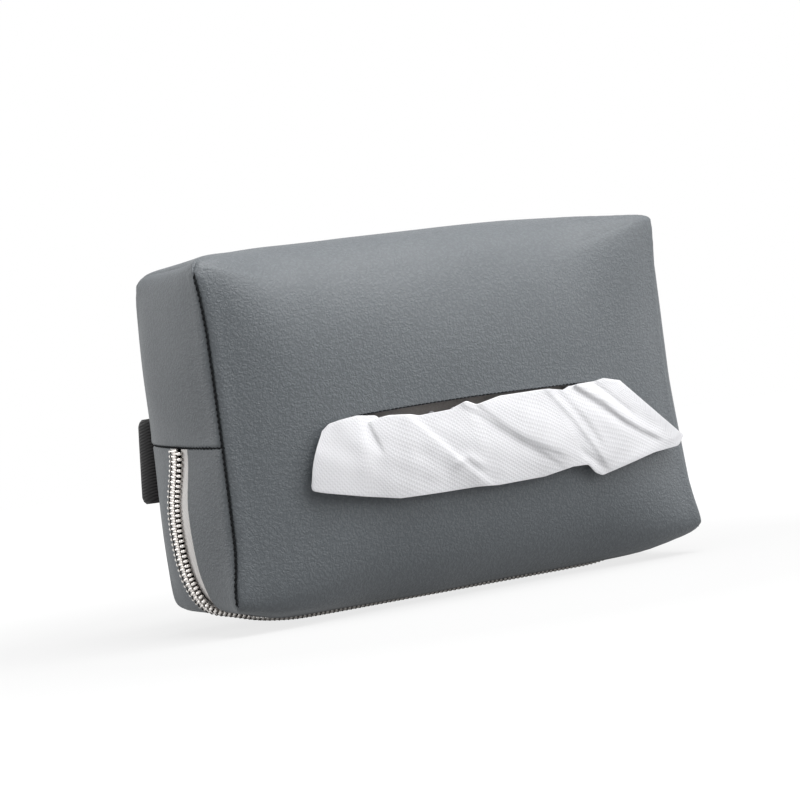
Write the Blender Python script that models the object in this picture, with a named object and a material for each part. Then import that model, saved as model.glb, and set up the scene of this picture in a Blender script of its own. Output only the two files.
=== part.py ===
"""Car tissue holder: a boxed leather pouch, slot in front, zip round the bottom, buckled strap behind.

Metres, +Z up. The origin is on the surface that the pouch stands on, under the whole holder's middle.
X runs along the length, and the slot faces -Y. The pouch is drawn about its own middle and shifted last.
"""
import math

import bmesh
import bpy
import numpy as np
from mathutils import Matrix, Vector

mm = 0.001

# Pouch, measured between its seams; each panel swells beyond them
SEAM_SPAN = 185 * mm
SEAM_DEPTH = 62 * mm
SEAM_HEIGHT = 122 * mm
FRONT_CROWN = 7.0 * mm
END_CROWN = 7.0 * mm
TOP_CROWN = 5.2 * mm
BOTTOM_CROWN = 6.2 * mm
REST_FLAT = 1.0 * mm
LEATHER = 1.3 * mm
SEAM_DIP = 0.6 * mm
END_SEAM_PULL = 1.2 * mm

# The strap, the tissue and the pull stand out unequally, so the whole holder's middle isn't the pouch's
STRAP_SHIFT = 7.6 * mm
PULL_SHIFT = 2.4 * mm

# Gaps
GAP = 0.3 * mm
SLIDER_PLAY = 0.5 * mm
OVERRUN = 1.0 * mm

# How full a panel stands, and how crisp each bend is
CROWN_POWER = 2.8
LONG_BEND_POWER = 4.5
SHORT_BEND_POWER = 24
SEAM_BEND_POWER = 28
PULL_WIDTH_SHARE = 0.35

# Slot in the front, with lips that part where the tissue comes through
SLOT_LENGTH = 108 * mm
SLOT_END_HEIGHT = 4.2 * mm
SLOT_LIFT = 1.0 * mm
SLOT_SAG = 8.0 * mm
FACING = 0.7 * mm

# Zip: woven tapes, two rows of interlocked teeth, slider and pull
ZIP_OPENING = 12.4 * mm
TAPE_INNER_EDGE = 0.9 * mm
TAPE = 0.6 * mm
COIL_PITCH = 3.0 * mm
COIL_BACK = 3.0 * mm
COIL_ROOT = 0.95 * mm
COIL_TIP = 0.65 * mm
COIL_ROUND = 0.35 * mm
COIL_SINK = 0.1 * mm
COIL_THICK = 1.25 * mm
ZIP_TOP = 2.6 * mm

SLIDER_LENGTH = 11.0 * mm
SLIDER_WIDTH = 9.0 * mm
SLIDER_NOSE = 5.0 * mm
SLIDER_SHOULDER = 5.0 * mm
SLIDER_PLATE = 1.3 * mm
SLIDER_FLANGE = 1.0 * mm
SLIDER_ROUND = 0.35 * mm
WEDGE_WIDTH = 1.0 * mm
WEDGE_LENGTH = 3.2 * mm
BRIDGE_WIDTH = 1.8 * mm
BRIDGE_BAR = 1.1 * mm
BRIDGE_WINDOW_LONG = 3.0 * mm
BRIDGE_WINDOW_HIGH = 1.9 * mm
SLIDER_TRAVEL = 16 * mm

PULL_LENGTH = 24 * mm
PULL_WIDTH = 6.4 * mm
PULL_NECK = 4.6 * mm
PULL_THICK = 1.2 * mm
PULL_ROUND = 0.3 * mm
PULL_HOLE = 3.4 * mm

# Bound seam allowances inside
BINDING_THICK = 2.3 * mm
BINDING_DEEP = 5.0 * mm

# Refill and the sheet that stands out of the slot
STACK_LENGTH_SHARE = 0.9
STACK_INSET = 2.65 * mm
STACK_FRONT = 12 * mm
STACK_TOP = 50 * mm
LEAF_GROOVE = 1.6 * mm
LEAVES = 5
SHEET = 0.7 * mm
SHEET_INNER_WIDTH = 92 * mm
SHEET_LEFT = 62 * mm
SHEET_RIGHT = 86 * mm
SHEET_DROP = 30 * mm
SHEET_PLEAT = 1.1 * mm
SHEET_FLARE = 3.4 * mm
SHEET_STAND = 1.3 * mm
PLEATS = 7
IN_SLOT_SHARES = (0.0, 0.5, 1.0)
FAN_SHARES = (0.12, 0.3, 0.5, 0.7, 0.86, 1.0)
FAN_POWER = 0.7
HEM_WAVE_SHARE = 0.12
NEAR_FLARE_SHARE = 0.35

# Strap: flat webbing in a loop behind the pouch
WEBBING_WIDTH = 30 * mm
WEBBING = 1.4 * mm
LOOP_HALF = 91 * mm
LOOP_GAP = 11 * mm
STRAP_DROP = 6.5 * mm
SOCKET_TAIL = 16 * mm
PLUG_TAIL = 42 * mm
PATCH_LENGTH = 40 * mm
PATCH_MARGIN = 9 * mm
KEEPER_WIDTH = 10 * mm
KEEPER_WALL = 0.9 * mm
KEEPER_PLACE = 20 * mm

# Side-release buckle
BUCKLE_WIDTH = 39 * mm
BUCKLE_THICK = 10.4 * mm
BUCKLE_ROUND = 1.6 * mm
SOCKET_BODY = 25 * mm
SOCKET_WALL = 2.2 * mm
MOUTH = 3.0 * mm
BAR = 3.2 * mm
BAR_THICK = 2.4 * mm
BAR_SLOT = 5.8 * mm
WINDOW_START = 4.0 * mm
WINDOW_LENGTH = 12.5 * mm
PLUG_BASE = 6.0 * mm
PLUG_FRAME_THICK = 6.4 * mm
PRONG_LENGTH = 18 * mm
PRONG_WIDTH = 5.5 * mm
PRONG_THICK = 4.2 * mm
ARM_LENGTH = 18 * mm
ARM_REACH = 18.4 * mm
ARM_THICK = 5.0 * mm
ARM_ROOT = 10.2 * mm
ARM_SHARES = (
    (0.00, -0.07), (0.00, 0.07), (0.26, 0.18), (0.30, 0.45), (0.64, 0.45),
    (0.72, 0.26), (0.90, 0.10), (0.90, -0.02), (0.66, 0.04), (0.30, -0.05),
)

# Divisions of the pouch, as shares of its half length, half depth and half height
LENGTH_SHARES = (0.19, 0.38, 0.78, 0.93, 1.0)
DEPTH_SHARES = (0.36, 0.62, 0.86, 1.0)
HEIGHT_SHARES = (0.22, 0.48, 0.74, 0.92, 1.0)

MIDDLE = SEAM_HEIGHT / 2 + BOTTOM_CROWN - REST_FLAT
SLOT_SHARE = SLOT_LENGTH / SEAM_SPAN
LIP_SHARE = SLOT_END_HEIGHT / SEAM_HEIGHT
ZIP_SHARE = ZIP_OPENING / SEAM_DEPTH
BACK_FACE = SEAM_DEPTH / 2 + FRONT_CROWN
TAPE_INSET = LEATHER + GAP
COIL_INNER = COIL_SINK + COIL_THICK
STRAP_LEVEL = MIDDLE - STRAP_DROP


def swell(share):
    """Height of a panel's crown, 1 in its middle and 0 at its seams."""
    return 1 - abs(share) ** CROWN_POWER


def bend(first, second, power):
    """Shrink that rounds the edge where both shares reach 1; a high power keeps it crisp."""
    large = max(abs(first), abs(second))
    if large == 0:
        return 1.0
    return ((abs(first) / large) ** power + (abs(second) / large) ** power) ** (-1 / power)


def skin(u, v, w, inset=0.0):
    """Point of the pouch at shares u, v, w of its half sizes, moved into the wall by inset."""
    long_power = LONG_BEND_POWER + (SEAM_BEND_POWER - LONG_BEND_POWER) * abs(u) ** 4
    short_power = SHORT_BEND_POWER + (SEAM_BEND_POWER - SHORT_BEND_POWER) * abs(v) ** 4
    across = bend(v, w, long_power)
    along = bend(u, w, short_power)
    pull = END_SEAM_PULL * math.exp(-((w / PULL_WIDTH_SHARE) ** 2))
    end_crown = (END_CROWN * swell(w) - pull) * swell(v)
    side_crown = FRONT_CROWN * swell(u) * swell(w)
    level_crown = (TOP_CROWN if w > 0 else BOTTOM_CROWN) * swell(u) * swell(v)
    x = u * along * (SEAM_SPAN / 2 - inset + end_crown)
    y = v * across * (SEAM_DEPTH / 2 - inset + side_crown)
    z = MIDDLE + w * across * along * (SEAM_HEIGHT / 2 - inset + level_crown)
    return Vector((x, y, max(z, inset)))


def both_sides(shares, middle):
    """Shares on both sides of the middle ones, lowest first."""
    return tuple(-share for share in reversed(shares)) + tuple(middle) + tuple(shares)


U_LINES = both_sides(tuple(sorted(LENGTH_SHARES + (SLOT_SHARE,))), (0.0,))
V_LINES = both_sides((ZIP_SHARE,) + DEPTH_SHARES, (0.0,))
W_LINES = both_sides((LIP_SHARE,) + HEIGHT_SHARES, (0.0,))


def part_lips(u, w):
    """Height share of a front row at u: the two rows beside the middle part round the slot."""
    if abs(w) != LIP_SHARE or abs(u) >= SLOT_SHARE:
        return w
    hump = 1 - (u / SLOT_SHARE) ** 2
    if w > 0:
        return w + 2 * SLOT_LIFT / SEAM_HEIGHT * hump
    return w - 2 * SLOT_SAG / SEAM_HEIGHT * hump


def spans(lines):
    """Neighbouring pairs of a list of shares."""
    return list(zip(lines[:-1], lines[1:]))


def front_cells(u_lines, w_lines):
    """Cells of the front panel, without the slot."""
    for u0, u1 in spans(u_lines):
        for w0, w1 in spans(w_lines):
            if max(abs(u0), abs(u1)) <= SLOT_SHARE and max(abs(w0), abs(w1)) <= LIP_SHARE:
                continue
            corners = ((u0, w0), (u1, w0), (u1, w1), (u0, w1))
            yield [(u, -1, part_lips(u, w)) for u, w in corners]


def level_cells(w, u_lines, v_lines):
    """Cells of the top or bottom panel at height share w; the bottom is open along the zip."""
    for u0, u1 in spans(u_lines):
        for v0, v1 in spans(v_lines):
            if w < 0 and max(abs(v0), abs(v1)) <= ZIP_SHARE:
                continue
            yield [(u0, v0, w), (u1, v0, w), (u1, v1, w), (u0, v1, w)]


def end_cells(u, v_lines, w_lines):
    """Cells of an end panel; its lower half is open along the zip."""
    for v0, v1 in spans(v_lines):
        for w0, w1 in spans(w_lines):
            if w1 <= 0 and max(abs(v0), abs(v1)) <= ZIP_SHARE:
                continue
            yield [(u, v0, w0), (u, v1, w0), (u, v1, w1), (u, v0, w1)]


def finish(name, colour, roughness, metallic=0.0):
    """A plain material with its own colour."""
    material = bpy.data.materials.new(name)
    material.use_nodes = True
    shader = material.node_tree.nodes["Principled BSDF"]
    shader.inputs["Base Color"].default_value = (*colour, 1)
    shader.inputs["Roughness"].default_value = roughness
    shader.inputs["Metallic"].default_value = metallic
    return material


def place(name, mesh_maker, material, sharp_angle=35, origin=None):
    """Turn a bmesh into a named object, its origin moved to a joint's axis where it has one."""
    bmesh.ops.recalc_face_normals(mesh_maker, faces=mesh_maker.faces)
    if origin is not None:
        bmesh.ops.translate(mesh_maker, verts=mesh_maker.verts, vec=-origin)
    mesh = bpy.data.meshes.new(name)
    mesh_maker.to_mesh(mesh)
    mesh_maker.free()
    mesh.materials.append(material)
    mesh.shade_smooth()
    mesh.set_sharp_from_angle(angle=math.radians(sharp_angle))
    item = bpy.data.objects.new(name, mesh)
    bpy.context.scene.collection.objects.link(item)
    if origin is not None:
        item.location = origin
    return item


def wall(cells, outer, inner):
    """A closed sheet over cells of the pouch; outer and inner give its two insets at a point."""
    made = bmesh.new()
    found = {}
    edges = {}

    def vertex(shares, side, inset):
        key = (side, *(round(share, 6) for share in shares))
        if key not in found:
            found[key] = made.verts.new(skin(*shares, inset(*shares)))
        return found[key]

    for cell in cells:
        top = [vertex(corner, "outer", outer) for corner in cell]
        low = [vertex(corner, "inner", inner) for corner in cell]
        made.faces.new(top)
        made.faces.new(list(reversed(low)))
        for step in range(4):
            pair = (top[step], top[step - 1], low[step - 1], low[step])
            key = frozenset(pair[:2])
            edges[key] = None if key in edges else pair
    for pair in edges.values():
        if pair:
            made.faces.new(pair)
    return made


def at(inset):
    """The same inset everywhere."""
    return lambda u, v, w: inset


def cover_outer(u, v, w):
    """The end seam at half height lies in a shallow valley."""
    return SEAM_DIP if abs(u) == 1 and w == 0 else 0.0


def make_cover(leather):
    """The leather shell: front, top, back, bottom and ends, open at the slot and the zip."""
    cells = list(front_cells(U_LINES, W_LINES))
    for u0, u1 in spans(U_LINES):
        for w0, w1 in spans(W_LINES):
            cells.append([(u0, 1, w0), (u1, 1, w0), (u1, 1, w1), (u0, 1, w1)])
    cells += level_cells(1, U_LINES, V_LINES)
    cells += level_cells(-1, U_LINES, V_LINES)
    cells += end_cells(-1, V_LINES, W_LINES)
    cells += end_cells(1, V_LINES, W_LINES)
    return place("outer_cover", wall(cells, cover_outer, at(LEATHER)), leather)


def make_facing(material):
    """The strip sewn behind the slot's lips."""
    u_lines = [u for u in U_LINES if abs(u) <= LENGTH_SHARES[2]]
    w_lines = [w for w in W_LINES if abs(w) <= HEIGHT_SHARES[0]]
    outer = LEATHER + GAP
    made = wall(front_cells(u_lines, w_lines), at(outer), at(outer + FACING))
    return place("slot_facing", made, material)


def make_tape(name, side, material):
    """A woven tape from the left end, along the bottom and up the right end."""
    edges = [side * share for share in (2 * TAPE_INNER_EDGE / SEAM_DEPTH, ZIP_SHARE, DEPTH_SHARES[0])]
    lows = [w for w in W_LINES if w < 0]
    cells = []
    for v0, v1 in spans(edges):
        for u in (-1, 1):
            cells += [[(u, v0, w0), (u, v1, w0), (u, v1, w1), (u, v0, w1)] for w0, w1 in spans(lows)]
        cells += [[(u0, v0, -1), (u1, v0, -1), (u1, v1, -1), (u0, v1, -1)] for u0, u1 in spans(U_LINES)]
    return place(name, wall(cells, at(TAPE_INSET), at(TAPE_INSET + TAPE)), material)


def zip_route(steps=480):
    """Shares (u, w) along the zip, from the left end's seam to the slider's wedge, and lengths."""
    wedge_end = ZIP_TOP + WEDGE_LENGTH + GAP
    low_left = 2 * ZIP_TOP / SEAM_HEIGHT
    low_right = 2 * wedge_end / SEAM_HEIGHT
    down = [(-1, -w) for w in np.linspace(low_left, 1, steps)]
    along = [(u, -1) for u in np.linspace(-1, 1, steps)][1:]
    up = [(1, -w) for w in np.linspace(1, low_right, steps)][1:]
    shares = down + along + up
    points = np.array([skin(u, 0, w, COIL_SINK) for u, w in shares])
    lengths = np.concatenate([[0], np.cumsum(np.linalg.norm(np.diff(points, axis=0), axis=1))])
    return np.array(shares), lengths


def make_coil(name, side, phase, route, material):
    """One row of teeth on its strip; the other row's teeth stand in the spaces between these."""
    shares, lengths = route
    teeth = int((lengths[-1] - COIL_PITCH) // COIL_PITCH)
    tooth = COIL_PITCH / 2 - GAP
    marks = [0.0]
    for count in range(teeth):
        start = COIL_PITCH * count + GAP + phase * COIL_PITCH / 2
        marks += [start, start + tooth]
    marks.append(COIL_PITCH * (teeth + 1))
    made = bmesh.new()
    rows = []
    for mark in marks:
        u = float(np.interp(mark, lengths, shares[:, 0]))
        w = float(np.interp(mark, lengths, shares[:, 1]))
        row = {}
        for depth, inset, shift in (("out", COIL_SINK, COIL_ROUND), ("in", COIL_INNER, 0.0)):
            point = skin(u, 0, w, inset)
            for part, y in (("back", COIL_BACK - shift), ("root", COIL_ROOT), ("tip", shift - COIL_TIP)):
                row[part, depth] = (point.x, side * y, point.z)
        rows.append(row)
    ends = []
    for index, row in enumerate(rows):
        made_row = {key: made.verts.new(spot) for key, spot in row.items() if key[0] != "tip"}
        if 0 < index < len(rows) - 1:
            made_row.update({key: made.verts.new(spot) for key, spot in row.items() if key[0] == "tip"})
        ends.append(made_row)
    for index, (near, far) in enumerate(zip(ends[:-1], ends[1:])):
        has_tooth = index % 2 == 1
        for depth in ("out", "in"):
            made.faces.new((near["back", depth], far["back", depth], far["root", depth], near["root", depth]))
        made.faces.new((near["back", "out"], near["back", "in"], far["back", "in"], far["back", "out"]))
        if not has_tooth:
            made.faces.new((near["root", "out"], near["root", "in"], far["root", "in"], far["root", "out"]))
            continue
        for depth in ("out", "in"):
            made.faces.new((near["root", depth], far["root", depth], far["tip", depth], near["tip", depth]))
        made.faces.new((near["tip", "out"], near["tip", "in"], far["tip", "in"], far["tip", "out"]))
        for edge in (near, far):
            made.faces.new((edge["root", "out"], edge["root", "in"], edge["tip", "in"], edge["tip", "out"]))
    for edge in (ends[0], ends[-1]):
        made.faces.new((edge["back", "out"], edge["back", "in"], edge["root", "in"], edge["root", "out"]))
    return place(name, made, material)


def prism(outline, low, high, frame):
    """A closed solid from an outline (a, b) drawn between two heights along the third axis."""
    made = bmesh.new()
    floor = [made.verts.new(frame @ Vector((a, b, low))) for a, b in outline]
    roof = [made.verts.new(frame @ Vector((a, b, high))) for a, b in outline]
    made.faces.new(list(reversed(floor)))
    made.faces.new(roof)
    for step in range(len(outline)):
        made.faces.new((floor[step - 1], floor[step], roof[step], roof[step - 1]))
    bmesh.ops.recalc_face_normals(made, faces=made.faces)
    return made


def block(low, high, frame=Matrix.Identity(4)):
    """A box between two corners."""
    outline = ((low[0], low[1]), (high[0], low[1]), (high[0], high[1]), (low[0], high[1]))
    return prism(outline, low[2], high[2], frame)


def soften(made, width, segments=1, least=40):
    """Bevel the edges that turn more than the least angle."""
    edges = [edge for edge in made.edges if edge.calc_face_angle(0) > math.radians(least)]
    bmesh.ops.bevel(made, geom=edges, offset=width, segments=segments, affect="EDGES", profile=0.5)
    return made


def combine(name, base, others, material, origin=None, sharp_angle=35):
    """Join solids to a base, or cut them from it, and leave one named object."""
    result = place(name, base, material, sharp_angle)
    for number, (operation, other) in enumerate(others):
        tool = place(f"{name}_tool_{number}", other, material)
        tool.hide_render = True
        tool.display_type = "WIRE"
        change = result.modifiers.new(operation, "BOOLEAN")
        change.operation = operation
        change.object = tool
    bpy.context.view_layer.update()
    seen = bpy.context.evaluated_depsgraph_get()
    mesh = bpy.data.meshes.new_from_object(result.evaluated_get(seen))
    for change in list(result.modifiers):
        tool = change.object
        result.modifiers.remove(change)
        bpy.data.objects.remove(tool, do_unlink=True)
    result.data = mesh
    made = bmesh.new()
    made.from_mesh(mesh)
    bmesh.ops.remove_doubles(made, verts=made.verts, dist=GAP / 100)
    if origin is not None:
        bmesh.ops.translate(made, verts=made.verts, vec=-origin)
        result.location = origin
    made.to_mesh(mesh)
    made.free()
    mesh.shade_smooth()
    mesh.set_sharp_from_angle(angle=math.radians(sharp_angle))
    return result


def slider_frame():
    """Axes at the slider's nose on the right end: across the zip, down along it, and outwards."""
    run = ZIP_TOP + (SLIDER_LENGTH + SLIDER_TRAVEL) / 2
    face = skin(1, 0, -2 * run / SEAM_HEIGHT).x
    return Matrix(((0, 0, 1, face), (1, 0, 0, 0), (0, -1, 0, MIDDLE - ZIP_TOP), (0, 0, 0, 1)))


def slider_heights():
    """Heights of the plates above the leather's face; below it they are negative."""
    outer_low = SLIDER_PLAY - COIL_SINK
    inner_high = -(TAPE_INSET + TAPE + SLIDER_PLAY)
    return outer_low, outer_low + SLIDER_PLATE, inner_high, inner_high - SLIDER_PLATE


def slider_outline():
    """Plan of a plate: a narrow nose that widens to the tail."""
    nose, half = SLIDER_NOSE / 2, SLIDER_WIDTH / 2
    return ((-nose, 0), (nose, 0), (half, SLIDER_SHOULDER), (half, SLIDER_LENGTH),
            (-half, SLIDER_LENGTH), (-half, SLIDER_SHOULDER))


def make_slider(metal):
    """Two plates joined by the wedge that parts the teeth, with flanges and the pull's bridge."""
    frame = slider_frame()
    outer_low, outer_high, inner_high, inner_low = slider_heights()
    half = SLIDER_WIDTH / 2
    sink = SLIDER_ROUND
    outer = soften(prism(slider_outline(), outer_low, outer_high, frame), SLIDER_ROUND)
    inner = soften(prism(slider_outline(), inner_low, inner_high, frame), SLIDER_ROUND)
    wedge_half = WEDGE_WIDTH / 2
    wedge = prism(((-wedge_half, sink), (wedge_half, sink), (0, WEDGE_LENGTH)),
                  inner_high - sink, outer_low + sink, frame)
    parts = [("UNION", wedge), ("UNION", inner)]
    flange_low = -TAPE_INSET + SLIDER_PLAY
    for side in (-1, 1):
        near, far = sorted((side * (half - SLIDER_FLANGE), side * half))
        flange_high = (far, SLIDER_LENGTH - sink, outer_low + sink)
        flange = block((near, SLIDER_SHOULDER, flange_low), flange_high, frame)
        parts.append(("UNION", flange))
    start = (SLIDER_LENGTH - BRIDGE_WINDOW_LONG) / 2 - BRIDGE_BAR
    stop = start + BRIDGE_WINDOW_LONG + 2 * BRIDGE_BAR
    roof = outer_high + BRIDGE_WINDOW_HIGH + BRIDGE_BAR
    side_view = Matrix(frame) @ Matrix(((0, 0, 1, 0), (1, 0, 0, 0), (0, 1, 0, 0), (0, 0, 0, 1)))
    arch = ((start, outer_high - sink), (stop, outer_high - sink), (stop, roof - BRIDGE_BAR),
            (stop - BRIDGE_BAR, roof), (start + BRIDGE_BAR, roof), (start, roof - BRIDGE_BAR))
    bridge = prism(arch, -BRIDGE_WIDTH / 2, BRIDGE_WIDTH / 2, side_view)
    window = block((start + BRIDGE_BAR, outer_high, -BRIDGE_WIDTH),
                   (stop - BRIDGE_BAR, roof - BRIDGE_BAR, BRIDGE_WIDTH), side_view)
    parts += [("UNION", bridge), ("DIFFERENCE", window)]
    return combine("zipper_slider", outer, parts, metal)


def pull_pivot():
    """Where the pull's cross bar lies under the bridge."""
    outer_high = slider_heights()[1]
    return slider_frame() @ Vector((0, SLIDER_LENGTH / 2, outer_high + BRIDGE_WINDOW_HIGH / 2))


def make_pull(metal):
    """A flat pull that hangs from its cross bar under the bridge."""
    pivot = pull_pivot()
    frame = Matrix.Translation(pivot) @ slider_frame().to_3x3().to_4x4()
    half, neck, bar = PULL_WIDTH / 2, PULL_NECK / 2, PULL_THICK / 2
    waist = PULL_LENGTH / 3
    outline = ((-neck, -bar), (neck, -bar), (neck, waist), (half, waist + half), (half, PULL_LENGTH - neck),
               (neck, PULL_LENGTH), (-neck, PULL_LENGTH), (-half, PULL_LENGTH - neck),
               (-half, waist + half), (-neck, waist))
    body = soften(prism(outline, -bar, bar, frame), PULL_ROUND)
    slot_half = BRIDGE_WIDTH / 2 + GAP
    eye = block((-slot_half, bar, -PULL_THICK), (slot_half, bar + PULL_HOLE, PULL_THICK), frame)
    grip_half = neck / 2
    grip = block((-grip_half, PULL_LENGTH - half - neck, -PULL_THICK),
                 (grip_half, PULL_LENGTH - neck, PULL_THICK), frame)
    return combine("zipper_pull", body, [("DIFFERENCE", eye), ("DIFFERENCE", grip)], metal, pivot)


def strip_solid(rings):
    """A closed bar through rings of equally many points."""
    made = bmesh.new()
    rows = [[made.verts.new(point) for point in ring] for ring in rings]
    for near, far in zip(rows[:-1], rows[1:]):
        for step in range(len(near)):
            made.faces.new((near[step - 1], near[step], far[step], far[step - 1]))
    made.faces.new(rows[0])
    made.faces.new(list(reversed(rows[-1])))
    return made


def make_corner_binding(name, u, v, tape):
    """The bound allowance of a corner seam, which points into the pouch from the corner."""
    w_lines = [w for w in W_LINES if abs(w) <= HEIGHT_SHARES[2]]
    step = BINDING_THICK / math.sqrt(2)
    deep = BINDING_DEEP
    section = ((0, 0), (step, 0), (step + deep, deep), (deep, step + deep), (0, step))
    rings = []
    for w in w_lines:
        corner = skin(u, v, w, LEATHER + GAP)
        rings.append([(corner.x - u * a, corner.y - v * b, corner.z) for a, b in section])
    return place(name, strip_solid(rings), tape)


def make_end_binding(name, u, tape):
    """The bound allowance of the level seam across an end."""
    half = BINDING_THICK / 2
    rings = []
    for v in [v for v in V_LINES if abs(v) <= DEPTH_SHARES[1]]:
        seat = skin(u, v, 0, LEATHER + GAP)
        inner = seat.x - u * BINDING_DEEP
        rings.append([(seat.x, seat.y, seat.z + half), (inner, seat.y, seat.z + half),
                      (inner, seat.y, seat.z - half), (seat.x, seat.y, seat.z - half)])
    return place(name, strip_solid(rings), tape)


def stack_point(u, v, w):
    """Point of the refill: it follows the pouch's back and bottom, and its front is flat."""
    behind = DEPTH_SHARES[0] if w == -1 else 1
    shell = skin(u, behind, w, STACK_INSET)
    front = -min(STACK_FRONT, shell.y)
    y = front + (v + 1) / 2 * (shell.y - front)
    on_fold = abs(u) == 1 and round((v + 1) * LEAVES) % 2 == 0
    x = shell.x * STACK_LENGTH_SHARE - (u * LEAF_GROOVE if on_fold else 0)
    return x, y, min(shell.z, MIDDLE + STACK_TOP)


def make_stack(paper):
    """The refill of folded tissues; the leaves' folds show at its ends."""
    long_lines = both_sides(LENGTH_SHARES[1::2], (0.0,))
    leaf_lines = tuple(np.linspace(-1, 1, 2 * LEAVES + 1))[1:-1]
    ring = [(u, 1) for u in long_lines] + [(1, v) for v in reversed(leaf_lines)]
    ring += [(u, -1) for u in reversed(long_lines)] + [(-1, v) for v in leaf_lines]
    levels = [w for w in W_LINES if abs(w) != LIP_SHARE]
    rings = [[stack_point(u, v, w) for u, v in ring] for w in levels]
    return place("tissue_stack", strip_solid(rings), paper)


def lip_height(x, upper):
    """Height of a slot lip at x, which runs straight between the lines of the panel."""
    row = LIP_SHARE if upper else -LIP_SHARE
    lines = [u for u in U_LINES if abs(u) <= SLOT_SHARE]
    lips = [skin(u, -1, part_lips(u, row), LEATHER + GAP + FACING) for u in lines]
    return float(np.interp(x, [lip.x for lip in lips], [lip.z for lip in lips]))


def front_face(x, z):
    """Y of the leather's front at x and z, from the crown's formula."""
    u = min(1.0, abs(2 * x / SEAM_SPAN))
    w = min(1.0, abs(2 * (z - MIDDLE) / SEAM_HEIGHT))
    return -(SEAM_DEPTH / 2 + FRONT_CROWN * swell(u) * swell(w))


def sheet_column(share):
    """Points down the sheet at a share of its width, from the refill through the slot to the hem."""
    wave = math.cos(2 * math.pi * PLEATS * share)
    x_in = (share - 0.5) * SHEET_INNER_WIDTH
    floor = lip_height(x_in, False)
    room = lip_height(x_in, True) - floor
    pleat = min(SHEET_PLEAT, (room - SHEET - 2 * GAP) / 4)
    z_in = floor + GAP + SHEET / 2 + pleat * (1 + wave)
    face = front_face(x_in, floor)
    column = []
    for s in IN_SLOT_SHARES:
        y = -STACK_FRONT - GAP + s * (face + STACK_FRONT - SHEET_STAND)
        column.append(Vector((x_in, y, z_in)))
    x_out = share * (SHEET_LEFT + SHEET_RIGHT) - SHEET_LEFT
    for s in FAN_SHARES:
        x = x_in + (x_out - x_in) * s ** FAN_POWER
        z = z_in - SHEET_DROP * s * (1 - HEM_WAVE_SHARE * (1 - wave) * s)
        flare = NEAR_FLARE_SHARE + (1 - NEAR_FLARE_SHARE) * s
        lift = SHEET_STAND + SHEET_FLARE * flare * (1 + wave) / 2
        y = front_face(x, z) - GAP - SHEET / 2 - lift
        column.append(Vector((x, y, z)))
    return column


def make_sheet(paper):
    """The tissue that stands out of the slot: pleated in the slot, fanned out over the front."""
    across = 4 * PLEATS
    middle = [sheet_column(step / across) for step in range(across + 1)]
    rows = len(middle[0])
    made = bmesh.new()
    upper, lower = [], []
    for i, column in enumerate(middle):
        before, after = middle[max(i - 1, 0)], middle[min(i + 1, across)]
        upper.append([])
        lower.append([])
        for j, point in enumerate(column):
            down = column[min(j + 1, rows - 1)] - column[max(j - 1, 0)]
            reach = down.cross(after[j] - before[j]).normalized() * SHEET / 2
            upper[-1].append(made.verts.new(point + reach))
            lower[-1].append(made.verts.new(point - reach))
    for i in range(across):
        for j in range(rows - 1):
            made.faces.new((upper[i][j], upper[i + 1][j], upper[i + 1][j + 1], upper[i][j + 1]))
            made.faces.new((lower[i][j], lower[i][j + 1], lower[i + 1][j + 1], lower[i + 1][j]))
    for i in range(across):
        for j in (0, rows - 1):
            made.faces.new((upper[i][j], upper[i + 1][j], lower[i + 1][j], lower[i][j]))
    for j in range(rows - 1):
        for i in (0, across):
            made.faces.new((upper[i][j], upper[i][j + 1], lower[i][j + 1], lower[i][j]))
    slot_middle = Vector((0, front_face(0, MIDDLE), lip_height(0, False)))
    return place("tissue_sheet", made, paper, 60, slot_middle)


def arc(centre, radius, start, stop, steps):
    """Points of an arc in the level plane, angles in degrees."""
    angles = [math.radians(start + (stop - start) * step / steps) for step in range(steps + 1)]
    return [(centre[0] + radius * math.cos(a), centre[1] + radius * math.sin(a)) for a in angles]


def ribbon(route, thickness, low, high):
    """A flat band on edge: the route is drawn in the level plane and the band stands on it."""
    points = [Vector(point) for point in route]
    rings = []
    for index, point in enumerate(points):
        before = points[max(index - 1, 0)]
        after = points[min(index + 1, len(points) - 1)]
        first = (point - before).normalized() if index else (after - point).normalized()
        second = (after - point).normalized() if index < len(points) - 1 else first
        normal = Vector((-(first + second).y, (first + second).x)).normalized()
        reach = thickness / 2 / max(normal.dot(Vector((-first.y, first.x))), 0.5)
        one, two = point + normal * reach, point - normal * reach
        rings.append([(one.x, one.y, low), (one.x, one.y, high), (two.x, two.y, high), (two.x, two.y, low)])
    return strip_solid(rings)


def strap_levels():
    """Depths of the inner run, of the outer run and of the buckle's bars."""
    inner = BACK_FACE + GAP + WEBBING / 2
    outer = inner + WEBBING + LOOP_GAP
    bar = outer + (WEBBING + GAP) / 2
    return inner, outer, bar


def make_strap(name, side, bar_place, tail, web):
    """Half of the strap: sewn behind the pouch, turned at its side and round a buckle bar."""
    inner, outer, bar = strap_levels()
    turn = (outer - inner) / 2
    turn_x = LOOP_HALF - WEBBING / 2 - turn
    wrap = math.hypot(BAR, BAR_THICK) / 2 + GAP + WEBBING / 2
    run_in = bar_place + 3 * BAR
    route = [(GAP / 2, inner), (turn_x / 2, inner)]
    route += arc((turn_x, (inner + outer) / 2), turn, -90, 90, 10)
    route += [((turn_x + run_in) / 2, outer), (run_in, outer)]
    route += [((run_in + bar_place) / 2, outer - wrap / 3)]
    route += arc((bar_place, bar), wrap, 270, 90, 8)
    back = 2 * bar - outer
    route += [((run_in + bar_place) / 2, back + wrap / 3), (run_in, back), (run_in + tail, back)]
    if side < 0:
        route = [(-x, y) for x, y in route]
    half = WEBBING_WIDTH / 2
    return place(name, ribbon(route, WEBBING, STRAP_LEVEL - half, STRAP_LEVEL + half), web)


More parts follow.
